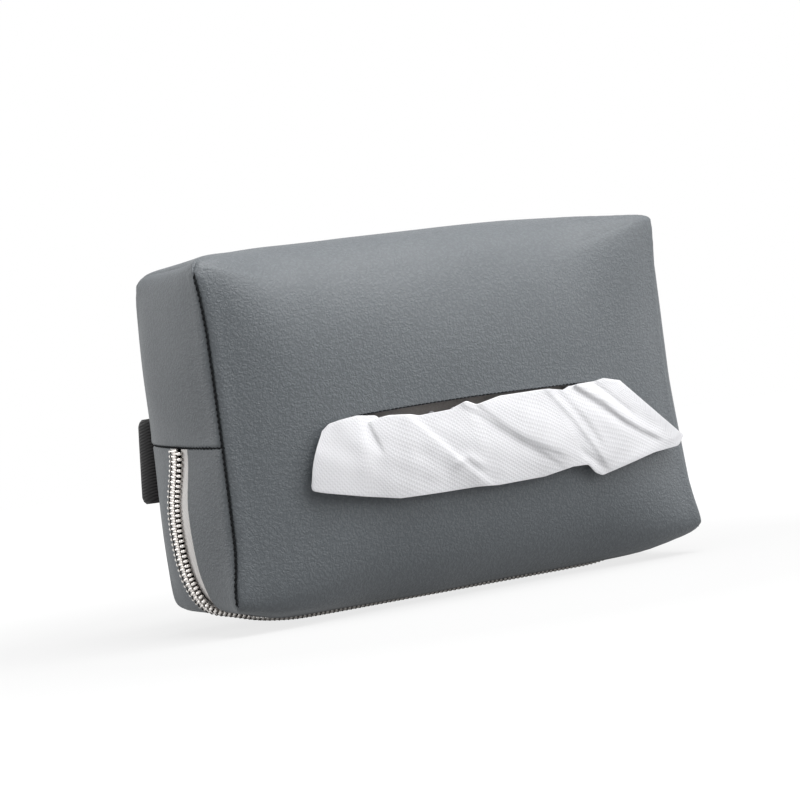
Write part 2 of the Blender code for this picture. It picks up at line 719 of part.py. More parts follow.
def make_patch(leather):
    """The leather patch that holds both strap ends to the back."""
    half = WEBBING_WIDTH / 2 + GAP
    edge = half + PATCH_MARGIN
    step = WEBBING + GAP
    u_edge = PATCH_LENGTH / SEAM_SPAN
    drop = 2 * STRAP_DROP / SEAM_HEIGHT
    levels = [(-edge, 0), (-half - step, 0), (-half, step), (0, step), (half, step), (half + step, 0), (edge, 0)]
    rings = []
    for u in (-u_edge, -u_edge / 2, 0.0, u_edge / 2, u_edge):
        outer_row, inner_row = [], []
        for height, raised in levels:
            w = 2 * height / SEAM_HEIGHT - drop
            foot = skin(u, 1, w)
            lift = GAP + raised
            level = BACK_FACE + lift if raised else foot.y + lift
            outer_row.append((foot.x, level + LEATHER, foot.z))
            inner_row.append((foot.x, level, foot.z))
        rings.append(outer_row + list(reversed(inner_row)))
    return place("strap_patch", strip_solid(rings), leather)


def make_keeper(web):
    """The elastic loop that holds the strap's tail down."""
    outer, bar = strap_levels()[1:]
    back = 2 * bar - outer
    low_y = outer - WEBBING / 2 - GAP
    high_y = back + WEBBING / 2 + GAP
    half = WEBBING_WIDTH / 2 + GAP
    start = SOCKET_BODY / 2 + PLUG_BASE + BAR_SLOT + BAR + KEEPER_PLACE
    body = block((start, low_y - KEEPER_WALL, STRAP_LEVEL - half - KEEPER_WALL),
                 (start + KEEPER_WIDTH, high_y + KEEPER_WALL, STRAP_LEVEL + half + KEEPER_WALL))
    hole = block((start - OVERRUN, low_y, STRAP_LEVEL - half),
                 (start + KEEPER_WIDTH + OVERRUN, high_y, STRAP_LEVEL + half))
    return combine("strap_keeper", soften(body, KEEPER_WALL / 2), [("DIFFERENCE", hole)], web)


def socket_places():
    """Places along X: the socket's back, its body's start and its mouth."""
    start = MOUTH - SOCKET_BODY
    return start - BAR_SLOT - BAR, start, MOUTH


def thin_bar(start, half_y, slot_half, frame):
    """Cuts that leave a webbing bar thinner than its frame, on both of its faces."""
    cuts = []
    for side in (-1, 1):
        near, far = sorted((side * BAR_THICK / 2, side * (half_y + OVERRUN)))
        low = (start - OVERRUN, near, -slot_half)
        high = (start + BAR + OVERRUN, far, slot_half)
        cuts.append(("DIFFERENCE", block(low, high, frame)))
    return cuts


def make_socket(plastic):
    """The buckle's socket: a flat hollow box with side windows and a webbing bar."""
    end, start, mouth = socket_places()
    bar = strap_levels()[2]
    half_z, half_y = BUCKLE_WIDTH / 2, BUCKLE_THICK / 2
    frame = Matrix.Translation((0, bar, STRAP_LEVEL))
    body = soften(block((end, -half_y, -half_z), (mouth, half_y, half_z), frame), BUCKLE_ROUND, 2)
    cavity = block((start + SOCKET_WALL, SOCKET_WALL - half_y, SOCKET_WALL - half_z),
                   (mouth + OVERRUN, half_y - SOCKET_WALL, half_z - SOCKET_WALL), frame)
    window_low = mouth - WINDOW_START - WINDOW_LENGTH
    window = block((window_low, SOCKET_WALL - half_y, -half_z - OVERRUN),
                   (mouth - WINDOW_START, half_y - SOCKET_WALL, half_z + OVERRUN), frame)
    slot_half = WEBBING_WIDTH / 2 + GAP
    slot = block((end + BAR, -half_y - OVERRUN, -slot_half), (start, half_y + OVERRUN, slot_half), frame)
    parts = [("DIFFERENCE", cavity), ("DIFFERENCE", window), ("DIFFERENCE", slot)]
    parts += thin_bar(end, half_y, slot_half, frame)
    return combine("buckle_socket", body, parts, plastic)


def plug_bar_place():
    """X of the middle of the plug's webbing bar."""
    return MOUTH + GAP + PLUG_BASE + BAR_SLOT + BAR / 2


def make_plug(plastic):
    """The buckle's plug: a webbing frame with a guide prong that enters the socket."""
    bar = strap_levels()[2]
    start = MOUTH + GAP
    end = start + PLUG_BASE + BAR_SLOT + BAR
    half_z, half_y = BUCKLE_WIDTH / 2, PLUG_FRAME_THICK / 2
    frame = Matrix.Translation((0, bar, STRAP_LEVEL))
    body = soften(block((start, -half_y, -half_z), (end, half_y, half_z), frame), BUCKLE_ROUND, 2)
    slot_half = WEBBING_WIDTH / 2 + GAP
    slot = block((start + PLUG_BASE, -half_y - OVERRUN, -slot_half),
                 (end - BAR, half_y + OVERRUN, slot_half), frame)
    prong_z, prong_y = PRONG_WIDTH / 2, PRONG_THICK / 2
    tip = start - PRONG_LENGTH
    level = Matrix(frame) @ Matrix(((1, 0, 0, 0), (0, 0, -1, 0), (0, 1, 0, 0), (0, 0, 0, 1)))
    outline = ((start + BUCKLE_ROUND, -prong_z), (start + BUCKLE_ROUND, prong_z), (tip + prong_z, prong_z),
               (tip, prong_z / 2), (tip, -prong_z / 2), (tip + prong_z, -prong_z))
    prong = prism(outline, -prong_y, prong_y, level)
    parts = [("DIFFERENCE", slot), ("UNION", prong)]
    parts += thin_bar(end - BAR, half_y, slot_half, frame)
    return combine("buckle_plug", body, parts, plastic)


def arm_pivot(side):
    """Where an arm bends at the plug's base."""
    return Vector((MOUTH - OVERRUN / 2, strap_levels()[2], STRAP_LEVEL + side * ARM_ROOT))


def make_arm(name, side, plastic):
    """A sprung arm whose button stands in the socket's side window."""
    pivot = arm_pivot(side)
    frame = Matrix.Translation(pivot) @ Matrix(((1, 0, 0, 0), (0, 0, -1, 0), (0, 1, 0, 0), (0, 0, 0, 1)))
    root = MOUTH - pivot.x - GAP / 2
    outline = [(root - along * ARM_LENGTH, side * out * ARM_REACH) for along, out in ARM_SHARES]
    body = soften(prism(outline, -ARM_THICK / 2, ARM_THICK / 2, frame), PULL_ROUND)
    return place(name, body, plastic, origin=pivot)


def main():
    """Build every piece of the holder."""
    for item in list(bpy.data.objects):
        bpy.data.objects.remove(item, do_unlink=True)
    leather = finish("slate_leather", (0.105, 0.125, 0.140), 0.5)
    tape_cloth = finish("zip_tape", (0.50, 0.49, 0.47), 0.85)
    coil_metal = finish("zip_silver", (0.62, 0.61, 0.60), 0.35, 0.8)
    cast_metal = finish("slider_silver", (0.60, 0.60, 0.60), 0.28, 1.0)
    binding = finish("binding_tape", (0.035, 0.035, 0.038), 0.9)
    paper = finish("tissue_paper", (0.86, 0.87, 0.88), 0.95)
    web = finish("black_webbing", (0.012, 0.012, 0.014), 0.8)
    plastic = finish("black_acetal", (0.015, 0.015, 0.017), 0.4)

    make_cover(leather)
    make_facing(finish("facing_cloth", (0.06, 0.055, 0.05), 0.9))
    make_tape("zipper_tape_front", -1, tape_cloth)
    make_tape("zipper_tape_back", 1, tape_cloth)
    route = zip_route()
    make_coil("zipper_teeth_front", -1, 0, route, coil_metal)
    make_coil("zipper_teeth_back", 1, 1, route, coil_metal)
    make_slider(cast_metal)
    make_pull(cast_metal)
    for depth_name, v in (("front", -1), ("back", 1)):
        for length_name, u in (("left", -1), ("right", 1)):
            make_corner_binding(f"binding_{depth_name}_{length_name}", u, v, binding)
    make_end_binding("binding_end_left", -1, binding)
    make_end_binding("binding_end_right", 1, binding)
    make_stack(paper)
    make_sheet(paper)
    socket_bar = -socket_places()[0] - BAR / 2
    make_strap("strap_socket_side", -1, socket_bar, SOCKET_TAIL, web)
    make_strap("strap_plug_side", 1, plug_bar_place(), PLUG_TAIL, web)
    make_patch(leather)
    make_keeper(web)
    make_socket(plastic)
    make_plug(plastic)
    make_arm("buckle_arm_upper", 1, plastic)
    make_arm("buckle_arm_lower", -1, plastic)
    for item in bpy.data.objects:
        item.location.x -= PULL_SHIFT
        item.location.y -= STRAP_SHIFT


main()
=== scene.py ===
"""Looks of the car tissue holder: a boxed leather pouch with a tissue in its slot, a zip and a strap.

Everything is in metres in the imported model's frame. The pouch's own shape is one formula, `PouchShape`,
and the leather, the zip, the bindings and the refill all take their places from it.
"""
from __future__ import annotations

import logging
import math
from dataclasses import dataclass, field
from enum import Enum
from typing import Any, Sequence

import bmesh
import bpy
import numpy as np
from mathutils import Matrix, Vector

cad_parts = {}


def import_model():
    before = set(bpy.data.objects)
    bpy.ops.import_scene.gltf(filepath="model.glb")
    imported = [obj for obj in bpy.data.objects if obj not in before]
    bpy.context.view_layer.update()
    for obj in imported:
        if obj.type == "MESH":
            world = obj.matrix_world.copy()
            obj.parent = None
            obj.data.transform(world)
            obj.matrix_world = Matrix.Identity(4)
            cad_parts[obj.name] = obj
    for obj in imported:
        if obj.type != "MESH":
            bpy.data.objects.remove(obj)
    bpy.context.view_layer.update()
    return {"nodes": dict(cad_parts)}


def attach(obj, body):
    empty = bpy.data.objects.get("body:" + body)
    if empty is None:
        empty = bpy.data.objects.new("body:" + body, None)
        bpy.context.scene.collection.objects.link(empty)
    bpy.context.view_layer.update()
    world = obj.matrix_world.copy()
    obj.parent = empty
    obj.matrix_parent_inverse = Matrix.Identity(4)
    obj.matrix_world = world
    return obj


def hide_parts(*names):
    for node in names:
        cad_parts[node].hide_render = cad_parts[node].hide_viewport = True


LOG = logging.getLogger("tissue_holder")
MM = 0.001

Array = np.ndarray
Tree = bpy.types.NodeTree
Piece = bpy.types.Object
Material = bpy.types.Material
DEPTHS = ((-1, "front"), (1, "back"))
ENDS = ((-1, "left"), (1, "right"))


class Body(Enum):
    """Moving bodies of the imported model."""

    POUCH = "pouch"
    TISSUE = "tissue"
    KEEPER = "keeper"


class Side(Enum):
    """A side of the zip or of the pouch's depth."""

    FRONT = -1
    BACK = 1


# Node and mesh helpers


def linear(hex_colour: str, alpha: float = 1.0) -> tuple[float, float, float, float]:
    """Turn an sRGB hex colour into linear values.

    Args:
        hex_colour: six hex digits, with or without a leading hash.
        alpha: fourth value of the result.

    Returns:
        The linear red, green and blue, and alpha.
    """
    digits = hex_colour.lstrip("#")
    parts = [int(digits[i:i + 2], 16) / 255 for i in (0, 2, 4)]
    curve = [p / 12.92 if p <= 0.04045 else ((p + 0.055) / 1.055) ** 2.4 for p in parts]
    return (*curve, alpha)


def add_node(tree: Tree, kind: str, settings: dict[Any, Any] | None = None,
             links: dict[Any, Any] | None = None) -> bpy.types.Node:
    """Add a node with its settings and links.

    Args:
        tree: node tree that the node joins.
        kind: Blender's type name of the node.
        settings: values by property name, or by input name or number.
        links: output sockets by the input name or number that they feed.

    Returns:
        The new node.
    """
    made = tree.nodes.new(kind)
    for key, value in (settings or {}).items():
        if isinstance(key, str) and key in made.bl_rna.properties:
            setattr(made, key, value)
        else:
            made.inputs[key].default_value = value
    for key, socket in (links or {}).items():
        tree.links.new(socket, made.inputs[key])
    return made


def linked(name: str, data: Any) -> Piece:
    """Make an object of some data and link it to the scene.

    Args:
        name: name of the object.
        data: its mesh, lamp or camera data.

    Returns:
        The object.
    """
    made = bpy.data.objects.new(name, data)
    bpy.context.scene.collection.objects.link(made)
    return made


def mesh_piece(name: str, points: Array, faces: Sequence[Sequence[int]], uv: Array | None = None,
               sharp_deg: float | None = None) -> Piece:
    """Make a smooth-shaded mesh object at the origin.

    Args:
        name: name of the object and its mesh.
        points: vertices, one row each.
        faces: vertex numbers of each face, counter-clockwise seen from outside.
        uv: one pattern coordinate per vertex.
        sharp_deg: edges that turn more than this stay sharp.

    Returns:
        The linked object.
    """
    mesh = bpy.data.meshes.new(name)
    mesh.from_pydata([tuple(p) for p in points], [], [tuple(f) for f in faces])
    mesh.shade_smooth()
    if sharp_deg is not None:
        mesh.set_sharp_from_angle(angle=math.radians(sharp_deg))
    if uv is not None:
        layer = mesh.uv_layers.new(name="pattern")
        index = np.zeros(len(mesh.loops), np.int32)
        mesh.loops.foreach_get("vertex_index", index)
        layer.data.foreach_set("uv", np.asarray(uv, np.float32)[index].ravel())
    return linked(name, mesh)


def outward_faces(piece: Piece) -> Piece:
    """Turn a closed mesh's faces outwards.

    Args:
        piece: closed mesh.

    Returns:
        The same piece.
    """
    made = bmesh.new()
    made.from_mesh(piece.data)
    bmesh.ops.recalc_face_normals(made, faces=made.faces)
    made.to_mesh(piece.data)
    made.free()
    return piece


def dress(piece: Piece, material: Material) -> Piece:
    """Give a piece one material and drop any other.

    Args:
        piece: piece to dress.
        material: its only material.

    Returns:
        The same piece.
    """
    piece.data.materials.clear()
    piece.data.materials.append(material)
    return piece


def place(piece: Piece, material: Material, body: Body, slot: str, *nodes: str) -> Piece:
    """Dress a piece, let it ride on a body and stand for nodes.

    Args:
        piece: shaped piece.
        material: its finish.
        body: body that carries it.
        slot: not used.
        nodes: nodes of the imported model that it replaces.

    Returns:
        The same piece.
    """
    dress(piece, material)
    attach(piece, body.value)
    if nodes:
        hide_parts(*nodes)
    triangles = sum(len(p.vertices) - 2 for p in piece.data.polygons)
    LOG.info("%s: %d triangles on %s", piece.name, triangles, body.value)
    return piece


def grid_normals(grid: Array) -> Array:
    """Unit normals of a grid of points, from its two directions.

    Args:
        grid: rows by columns of points.

    Returns:
        The normals, rows by columns.
    """
    along = np.gradient(grid, axis=0)
    across = np.gradient(grid, axis=1)
    normal = np.cross(along, across)
    return normal / np.maximum(np.linalg.norm(normal, axis=2, keepdims=True), 1e-12)


def unit(vectors: Array) -> Array:
    """Rows scaled to length 1."""
    return vectors / np.linalg.norm(vectors, axis=1, keepdims=True)


def run_length(path: Array) -> Array:
    """Distance along a path at each of its points."""
    return np.concatenate([[0], np.cumsum(np.linalg.norm(np.diff(path, axis=0), axis=1))])


def read_along(places: Array, lengths: Array, values: Array) -> Array:
    """Rows of values at places along a path."""
    return np.stack([np.interp(places, lengths, column) for column in values.T], axis=1)


def ease(share: Array) -> Array:
    """Smooth step from 0 to 1."""
    held = np.clip(share, 0, 1)
    return held * held * (3 - 2 * held)


def pattern_map(along: Array, across: Array) -> Array:
    """Pattern coordinates of a grid, from its distances along and across."""
    return np.stack(np.meshgrid(along, across, indexing="ij"), axis=-1)


def ring_faces(count: int, around: int) -> list[tuple[int, ...]]:
    """Faces of a closed bar of rings, with its two caps first.

    Args:
        count: number of rings.
        around: points on each ring.

    Returns:
        Faces as vertex numbers.
    """
    faces = [tuple(reversed(range(around))), tuple((count - 1) * around + k for k in range(around))]
    for i in range(count - 1):
        for k in range(around):
            n = (k + 1) % around
            faces.append((i * around + k, i * around + n, (i + 1) * around + n, (i + 1) * around + k))
    return faces


def thin_solid(name: str, grid: Array, thickness: float, uv: Array | None = None,
               rounded: bool = False) -> Piece:
    """Close a grid of points into a thin solid with a rim.

    Args:
        name: name of the piece.
        grid: middle surface, rows by columns of points.
        thickness: distance between the two faces.
        uv: pattern coordinates, rows by columns.
        rounded: thin the solid at its two long edges, as woven webbing is.

    Returns:
        The closed piece.
    """
    rows, cols = grid.shape[:2]
    half = np.full((rows, cols, 1), thickness / 2)
    if rounded:
        half[:, 0] *= 0.45
        half[:, -1] *= 0.45
    reach = grid_normals(grid) * half
    points = np.concatenate([(grid + reach).reshape(-1, 3), (grid - reach).reshape(-1, 3)])
    low = rows * cols
    faces = []
    for i in range(rows - 1):
        for j in range(cols - 1):
            a, b, c, d = i * cols + j, (i + 1) * cols + j, (i + 1) * cols + j + 1, i * cols + j + 1
            faces.append((a, b, c, d))
            faces.append((low + a, low + d, low + c, low + b))
    rim = [j for j in range(cols)] + [i * cols + cols - 1 for i in range(1, rows)]
    rim += [(rows - 1) * cols + j for j in range(cols - 2, -1, -1)] + [i * cols for i in range(rows - 2, 0, -1)]
    for here, there in zip(rim, rim[1:] + rim[:1]):
        faces.append((here, there, low + there, low + here))
    marks = None if uv is None else np.concatenate([uv.reshape(-1, 2)] * 2)
    return outward_faces(mesh_piece(name, points, faces, marks, 50))


def tube(name: str, path: Array, radius: float, sides: int = 6) -> Piece:
    """A closed round bar along a path of points.

    Args:
        name: name of the piece.
        path: middle line.
        radius: radius of the bar.
        sides: number of its sides.

    Returns:
        The closed piece.
    """
    along = unit(np.gradient(path, axis=0))
    guide = np.where(np.abs(along[:, 2:3]) > 0.9, np.array([[0.0, 1.0, 0.0]]), np.array([[0.0, 0.0, 1.0]]))
    first = unit(np.cross(along, guide))
    second = np.cross(along, first)
    angles = np.linspace(0, 2 * math.pi, sides, endpoint=False)
    rings = path[:, None] + radius * (np.cos(angles)[None, :, None] * first[:, None]
                                      + np.sin(angles)[None, :, None] * second[:, None])
    return outward_faces(mesh_piece(name, rings.reshape(-1, 3), ring_faces(len(path), sides)))


def spline(stations: Array, steps: Sequence[int]) -> Array:
    """Smooth columns through stations, by the Catmull-Rom rule.

    Args:
        stations: stations by columns of points.
        steps: number of pieces between each station and the next.

    Returns:
        Rows by columns of points.
    """
    ends = np.concatenate([2 * stations[:1] - stations[1:2], stations, 2 * stations[-1:] - stations[-2:-1]])
    rows = []
    for k, count in enumerate(steps):
        p0, p1, p2, p3 = ends[k:k + 4]
        for step in range(count):
            t = step / count
            rows.append(0.5 * (2 * p1 + (p2 - p0) * t + (2 * p0 - 5 * p1 + 4 * p2 - p3) * t ** 2
                               + (3 * p1 - p0 - 3 * p2 + p3) * t ** 3))
    rows.append(stations[-1])
    return np.array(rows)


# Finishes


def new_material(name: str, settings: dict[str, Any] | None = None) -> tuple[Material, Tree, bpy.types.Node]:
    """Start a node material.

    Args:
        name: name of the material.
        settings: values of the shader's inputs by name.

    Returns:
        The material, its tree and its shader.
    """
    made = bpy.data.materials.new(name)
    made.use_nodes = True
    shader = made.node_tree.nodes["Principled BSDF"]
    for key, value in (settings or {}).items():
        shader.inputs[key].default_value = value
    return made, made.node_tree, shader


def bump_by(tree: Tree, shader: bpy.types.Node, height: bpy.types.NodeSocket, strength: float, depth: float) -> None:
    """Let a height raise the shader's surface.

    Args:
        tree: the material's tree.
        shader: its shader.
        height: socket of the height, 0 to 1.
        strength: share of the effect.
        depth: distance that a height of 1 stands for.
    """
    bump = add_node(tree, "ShaderNodeBump", {"Strength": strength, "Distance": depth}, {"Height": height})
    tree.links.new(bump.outputs[0], shader.inputs["Normal"])


def made_once(finish: Any) -> Any:
    """A dataclass field that holds a finish's material."""
    return field(default_factory=finish.build)


@dataclass(frozen=True)
class PebbledLeather:
    """Coated leather with a rolled pebble grain.

    Grain cells of about 1.1 mm with creases between them break up a satin sheen, and the creases get a slightly darker
    colour, painted shade in the grain's hollows. A slow unevenness in the gloss keeps large panels from looking
    sprayed.
    """

    name: str = "slate_coated_leather"
    colour: str = "#5A5F63"
    # darker colour of the creases: painted shade in the grain's hollows
    crease: str = "#505559"
    cell: float = 1.1 * MM
    fine: float = 0.5 * MM
    depth: float = 0.18 * MM
    roughness: float = 0.5

    def build(self) -> Material:
        """Make the material.

        Returns:
            The material.
        """
        made, tree, shader = new_material(self.name)
        place_at = add_node(tree, "ShaderNodeTexCoord").outputs["Object"]
        warp = add_node(tree, "ShaderNodeTexNoise", {"Scale": 0.45 / self.cell, "Detail": 2.0}, {"Vector": place_at})
        centred = add_node(tree, "ShaderNodeVectorMath", {"operation": "SUBTRACT", 1: (0.5, 0.5, 0.5)},
                           {0: warp.outputs["Color"]})
        pushed = add_node(tree, "ShaderNodeVectorMath", {"operation": "SCALE", "Scale": 2.2 * self.cell},
                          {0: centred.outputs[0]})
        spot = add_node(tree, "ShaderNodeVectorMath", {"operation": "ADD"}, {0: place_at, 1: pushed.outputs[0]})
        cells = add_node(tree, "ShaderNodeTexVoronoi", {"feature": "F1", "Scale": 1 / self.cell},
                         {"Vector": spot.outputs[0]})
        pad = add_node(tree, "ShaderNodeMapRange", {1: 0.75, 2: 0.1, "interpolation_type": "SMOOTHSTEP"},
                       {0: cells.outputs["Distance"]})
        creases = add_node(tree, "ShaderNodeTexNoise", {"Scale": 1 / self.fine, "Detail": 1.5, "Roughness": 0.5,
                                                        "Distortion": 0.8}, {"Vector": place_at})
        height = add_node(tree, "ShaderNodeMath", {"operation": "MULTIPLY_ADD", 1: 0.45},
                          {0: pad.outputs[0], 2: creases.outputs["Fac"]})
        bump_by(tree, shader, height.outputs[0], 1.0, self.depth)
        # the creases, low in the bump, take the darker colour: painted shade
        shade = add_node(tree, "ShaderNodeMix", {"data_type": "RGBA", 6: linear(self.crease),
                                                 7: linear(self.colour)}, {0: pad.outputs[0]})
        broad = add_node(tree, "ShaderNodeTexNoise", {"Scale": 28.0, "Detail": 2.0}, {"Vector": place_at})
        gloss = add_node(tree, "ShaderNodeMapRange", {1: 0.3, 2: 0.7, 3: self.roughness - 0.04,
                                                      4: self.roughness + 0.05}, {0: broad.outputs["Fac"]})
        tree.links.new(shade.outputs[2], shader.inputs["Base Color"])
        tree.links.new(gloss.outputs[0], shader.inputs["Roughness"])
        return made


@dataclass(frozen=True)
class WovenCloth:
    """Plain or ribbed woven tape: two sets of threads, crossed on the piece's own pattern map, with the gaps between
    them in a darker colour, painted shade.

    The ribs run across the piece.
    """

    name: str
    colour: str
    painted_gap_shade: str
    rib: float = 1.2 * MM
    thread: float = 0.8 * MM
    slant: float = 0.0
    depth: float = 0.12 * MM
    roughness: float = 0.85
    sheen: float = 0.15

    def build(self) -> Material:
        """Make the material.

        Returns:
            The material.
        """
        made, tree, shader = new_material(self.name, {
            "Roughness": self.roughness, "Sheen Weight": self.sheen, "Specular IOR Level": 0.25})
        spot = add_node(tree, "ShaderNodeUVMap", {"uv_map": "pattern"}).outputs[0]
        split = add_node(tree, "ShaderNodeSeparateXYZ", links={0: spot})
        slanted = add_node(tree, "ShaderNodeMath", {"operation": "MULTIPLY_ADD", 1: self.slant},
                           {0: split.outputs[1], 2: split.outputs[0]})
        ribs = add_node(tree, "ShaderNodeMath", {"operation": "MULTIPLY", 1: 2 * math.pi / self.rib},
                        {0: slanted.outputs[0]})
        ribs = add_node(tree, "ShaderNodeMath", {"operation": "SINE"}, {0: ribs.outputs[0]})
        threads = add_node(tree, "ShaderNodeMath", {"operation": "MULTIPLY", 1: 2 * math.pi / self.thread},
                           {0: split.outputs[1]})
        threads = add_node(tree, "ShaderNodeMath", {"operation": "SINE"}, {0: threads.outputs[0]})
        fuzz = add_node(tree, "ShaderNodeTexNoise", {"Scale": 1500.0, "Detail": 2.0}, {"Vector": spot})
        weave = add_node(tree, "ShaderNodeMath", {"operation": "MULTIPLY_ADD", 1: 0.45},
                         {0: threads.outputs[0], 2: ribs.outputs[0]})
        weave = add_node(tree, "ShaderNodeMath", {"operation": "MULTIPLY_ADD", 1: 0.9},
                         {0: fuzz.outputs["Fac"], 2: weave.outputs[0]})
        share = add_node(tree, "ShaderNodeMapRange", {1: -1.2, 2: 1.4}, {0: weave.outputs[0]})
        # low gaps of the weave take the darker colour: painted shade between the threads
        shade = add_node(tree, "ShaderNodeMix", {"data_type": "RGBA", 6: linear(self.painted_gap_shade),
                                                 7: linear(self.colour)}, {0: share.outputs[0]})
        bump_by(tree, shader, share.outputs[0], 0.9, self.depth)
        tree.links.new(shade.outputs[2], shader.inputs["Base Color"])
        return made


@dataclass(frozen=True)
class FeltedCloth:
    """Non-woven backing cloth: matted fibres with no weave, mottled and dull."""

    name: str
    colour: str
    dark: str
    fibre: float = 0.5 * MM
    roughness: float = 0.95

    def build(self) -> Material:
        """Make the material.

        Returns:
            The material.
        """
        made, tree, shader = new_material(self.name, {"Roughness": self.roughness, "Specular IOR Level": 0.2})
        spot = add_node(tree, "ShaderNodeTexCoord").outputs["Object"]
        mat = add_node(tree, "ShaderNodeTexNoise", {"Scale": 1 / self.fibre, "Detail": 4.0, "Roughness": 0.7,
                                                    "Distortion": 0.6}, {"Vector": spot})
        shade = add_node(tree, "ShaderNodeMix", {"data_type": "RGBA", 6: linear(self.dark),
                                                 7: linear(self.colour)}, {0: mat.outputs["Fac"]})
        bump_by(tree, shader, mat.outputs["Fac"], 0.7, 0.1 * MM)
        tree.links.new(shade.outputs[2], shader.inputs["Base Color"])
        return made


@dataclass(frozen=True)
class EmbossedTissue:
    """Two-ply facial tissue: soft white fibres, pressed with a lattice of small dots.

    The dots stand 1.25 mm apart on the sheet's own pattern map, and the paper lets some light into itself.
    """

    name: str = "embossed_two_ply_tissue"
    colour: str = "#DEDEE1"
    dot: float = 1.25 * MM
    depth: float = 0.07 * MM

    def build(self) -> Material:
        """Make the material.

        Returns:
            The material.
        """
        made, tree, shader = new_material(self.name, {
            "Base Color": linear(self.colour), "Roughness": 0.95, "Specular IOR Level": 0.15,
            "Subsurface Weight": 0.1, "Subsurface Radius": (1.0, 1.0, 1.0), "Subsurface Scale": 0.8 * MM})
        spot = add_node(tree, "ShaderNodeUVMap", {"uv_map": "pattern"}).outputs[0]
        turned = add_node(tree, "ShaderNodeMapping", {"Rotation": (0, 0, math.radians(28))}, {"Vector": spot})
        split = add_node(tree, "ShaderNodeSeparateXYZ", links={0: turned.outputs[0]})
        waves = []
        for axis in (0, 1):
            phase = add_node(tree, "ShaderNodeMath", {"operation": "MULTIPLY", 1: 2 * math.pi / self.dot},
                             {0: split.outputs[axis]})
            waves.append(add_node(tree, "ShaderNodeMath", {"operation": "COSINE"}, {0: phase.outputs[0]}))
        dots = add_node(tree, "ShaderNodeMath", {"operation": "ADD"}, {0: waves[0].outputs[0], 1: waves[1].outputs[0]})
        pressed = add_node(tree, "ShaderNodeMapRange", {1: 0.1, 2: 1.4, "interpolation_type": "SMOOTHSTEP"},
                           {0: dots.outputs[0]})
        fibre = add_node(tree, "ShaderNodeTexNoise", {"Scale": 900.0, "Detail": 4.0, "Roughness": 0.65},
                         {"Vector": spot})
        crumple = add_node(tree, "ShaderNodeTexNoise", {"Scale": 150.0, "Detail": 3.0}, {"Vector": spot})
        rough = add_node(tree, "ShaderNodeMath", {"operation": "MULTIPLY_ADD", 1: 0.7},
                         {0: fibre.outputs["Fac"], 2: pressed.outputs[0]})
        rough = add_node(tree, "ShaderNodeMath", {"operation": "MULTIPLY_ADD", 1: 2.2},
                         {0: crumple.outputs["Fac"], 2: rough.outputs[0]})
        bump_by(tree, shader, rough.outputs[0], 0.8, self.depth)
        return made


@dataclass(frozen=True)
class PlatedMetal:
    """Nickel-look plating on coil or zinc: bright, with a little uneven haze."""

    name: str
    colour: str = "#DAD6D2"
    roughness: float = 0.26
    grit: float = 1.2 * MM

    def build(self) -> Material:
        """Make the material.

        Returns:
            The material.
        """
        made, tree, shader = new_material(self.name, {"Base Color": linear(self.colour), "Metallic": 1.0})
        spot = add_node(tree, "ShaderNodeTexCoord").outputs["Object"]
        haze = add_node(tree, "ShaderNodeTexNoise", {"Scale": 1 / self.grit, "Detail": 3.0}, {"Vector": spot})
        gloss = add_node(tree, "ShaderNodeMapRange", {1: 0.3, 2: 0.7, 3: self.roughness - 0.06,
                                                      4: self.roughness + 0.12}, {0: haze.outputs["Fac"]})
        bump_by(tree, shader, haze.outputs["Fac"], 0.25, 0.03 * MM)
        tree.links.new(gloss.outputs[0], shader.inputs["Roughness"])
        return made


@dataclass(frozen=True)
class MouldedAcetal:
    """Injection-moulded acetal: near black, satin, with the fine spark texture of its mould."""

    name: str = "moulded_black_acetal"
    colour: str = "#1D1E20"
    grain: float = 0.35 * MM

    def build(self) -> Material:
        """Make the material.

        Returns:
            The material.
        """
        made, tree, shader = new_material(self.name, {"Base Color": linear(self.colour), "IOR": 1.48})
        spot = add_node(tree, "ShaderNodeTexCoord").outputs["Object"]
        spark = add_node(tree, "ShaderNodeTexNoise", {"Scale": 1 / self.grain, "Detail": 2.0}, {"Vector": spot})
        gloss = add_node(tree, "ShaderNodeMapRange", {1: 0.3, 2: 0.7, 3: 0.36, 4: 0.5}, {0: spark.outputs["Fac"]})
        bump_by(tree, shader, spark.outputs["Fac"], 0.35, 0.04 * MM)
        tree.links.new(gloss.outputs[0], shader.inputs["Roughness"])
        return made


@dataclass(frozen=True)
class SewingThread:
    """Bonded polyester thread: two twisted plies, dull with a faint sheen, darker in the grooves between the plies as
    painted shade.
    """

    name: str
    colour: str
    twist: float = 0.5 * MM

    def build(self) -> Material:
        """Make the material.

        Returns:
            The material.
        """
        made, tree, shader = new_material(self.name, {"Roughness": 0.8, "Specular IOR Level": 0.12})
        spot = add_node(tree, "ShaderNodeTexCoord").outputs["Object"]
        plies = add_node(tree, "ShaderNodeTexWave", {"Scale": 0.3 / self.twist, "bands_direction": "DIAGONAL",
                                                     "Distortion": 1.0}, {"Vector": spot})
        light = linear(self.colour)
        # darker colour in the grooves between the plies, low in the bump: painted shade
        dark = (*(0.6 * c for c in light[:3]), 1.0)
        shade = add_node(tree, "ShaderNodeMix", {"data_type": "RGBA", 6: dark, 7: light}, {0: plies.outputs["Fac"]})
        bump_by(tree, shader, plies.outputs["Fac"], 0.5, 0.05 * MM)
        tree.links.new(shade.outputs[2], shader.inputs["Base Color"])
        return made


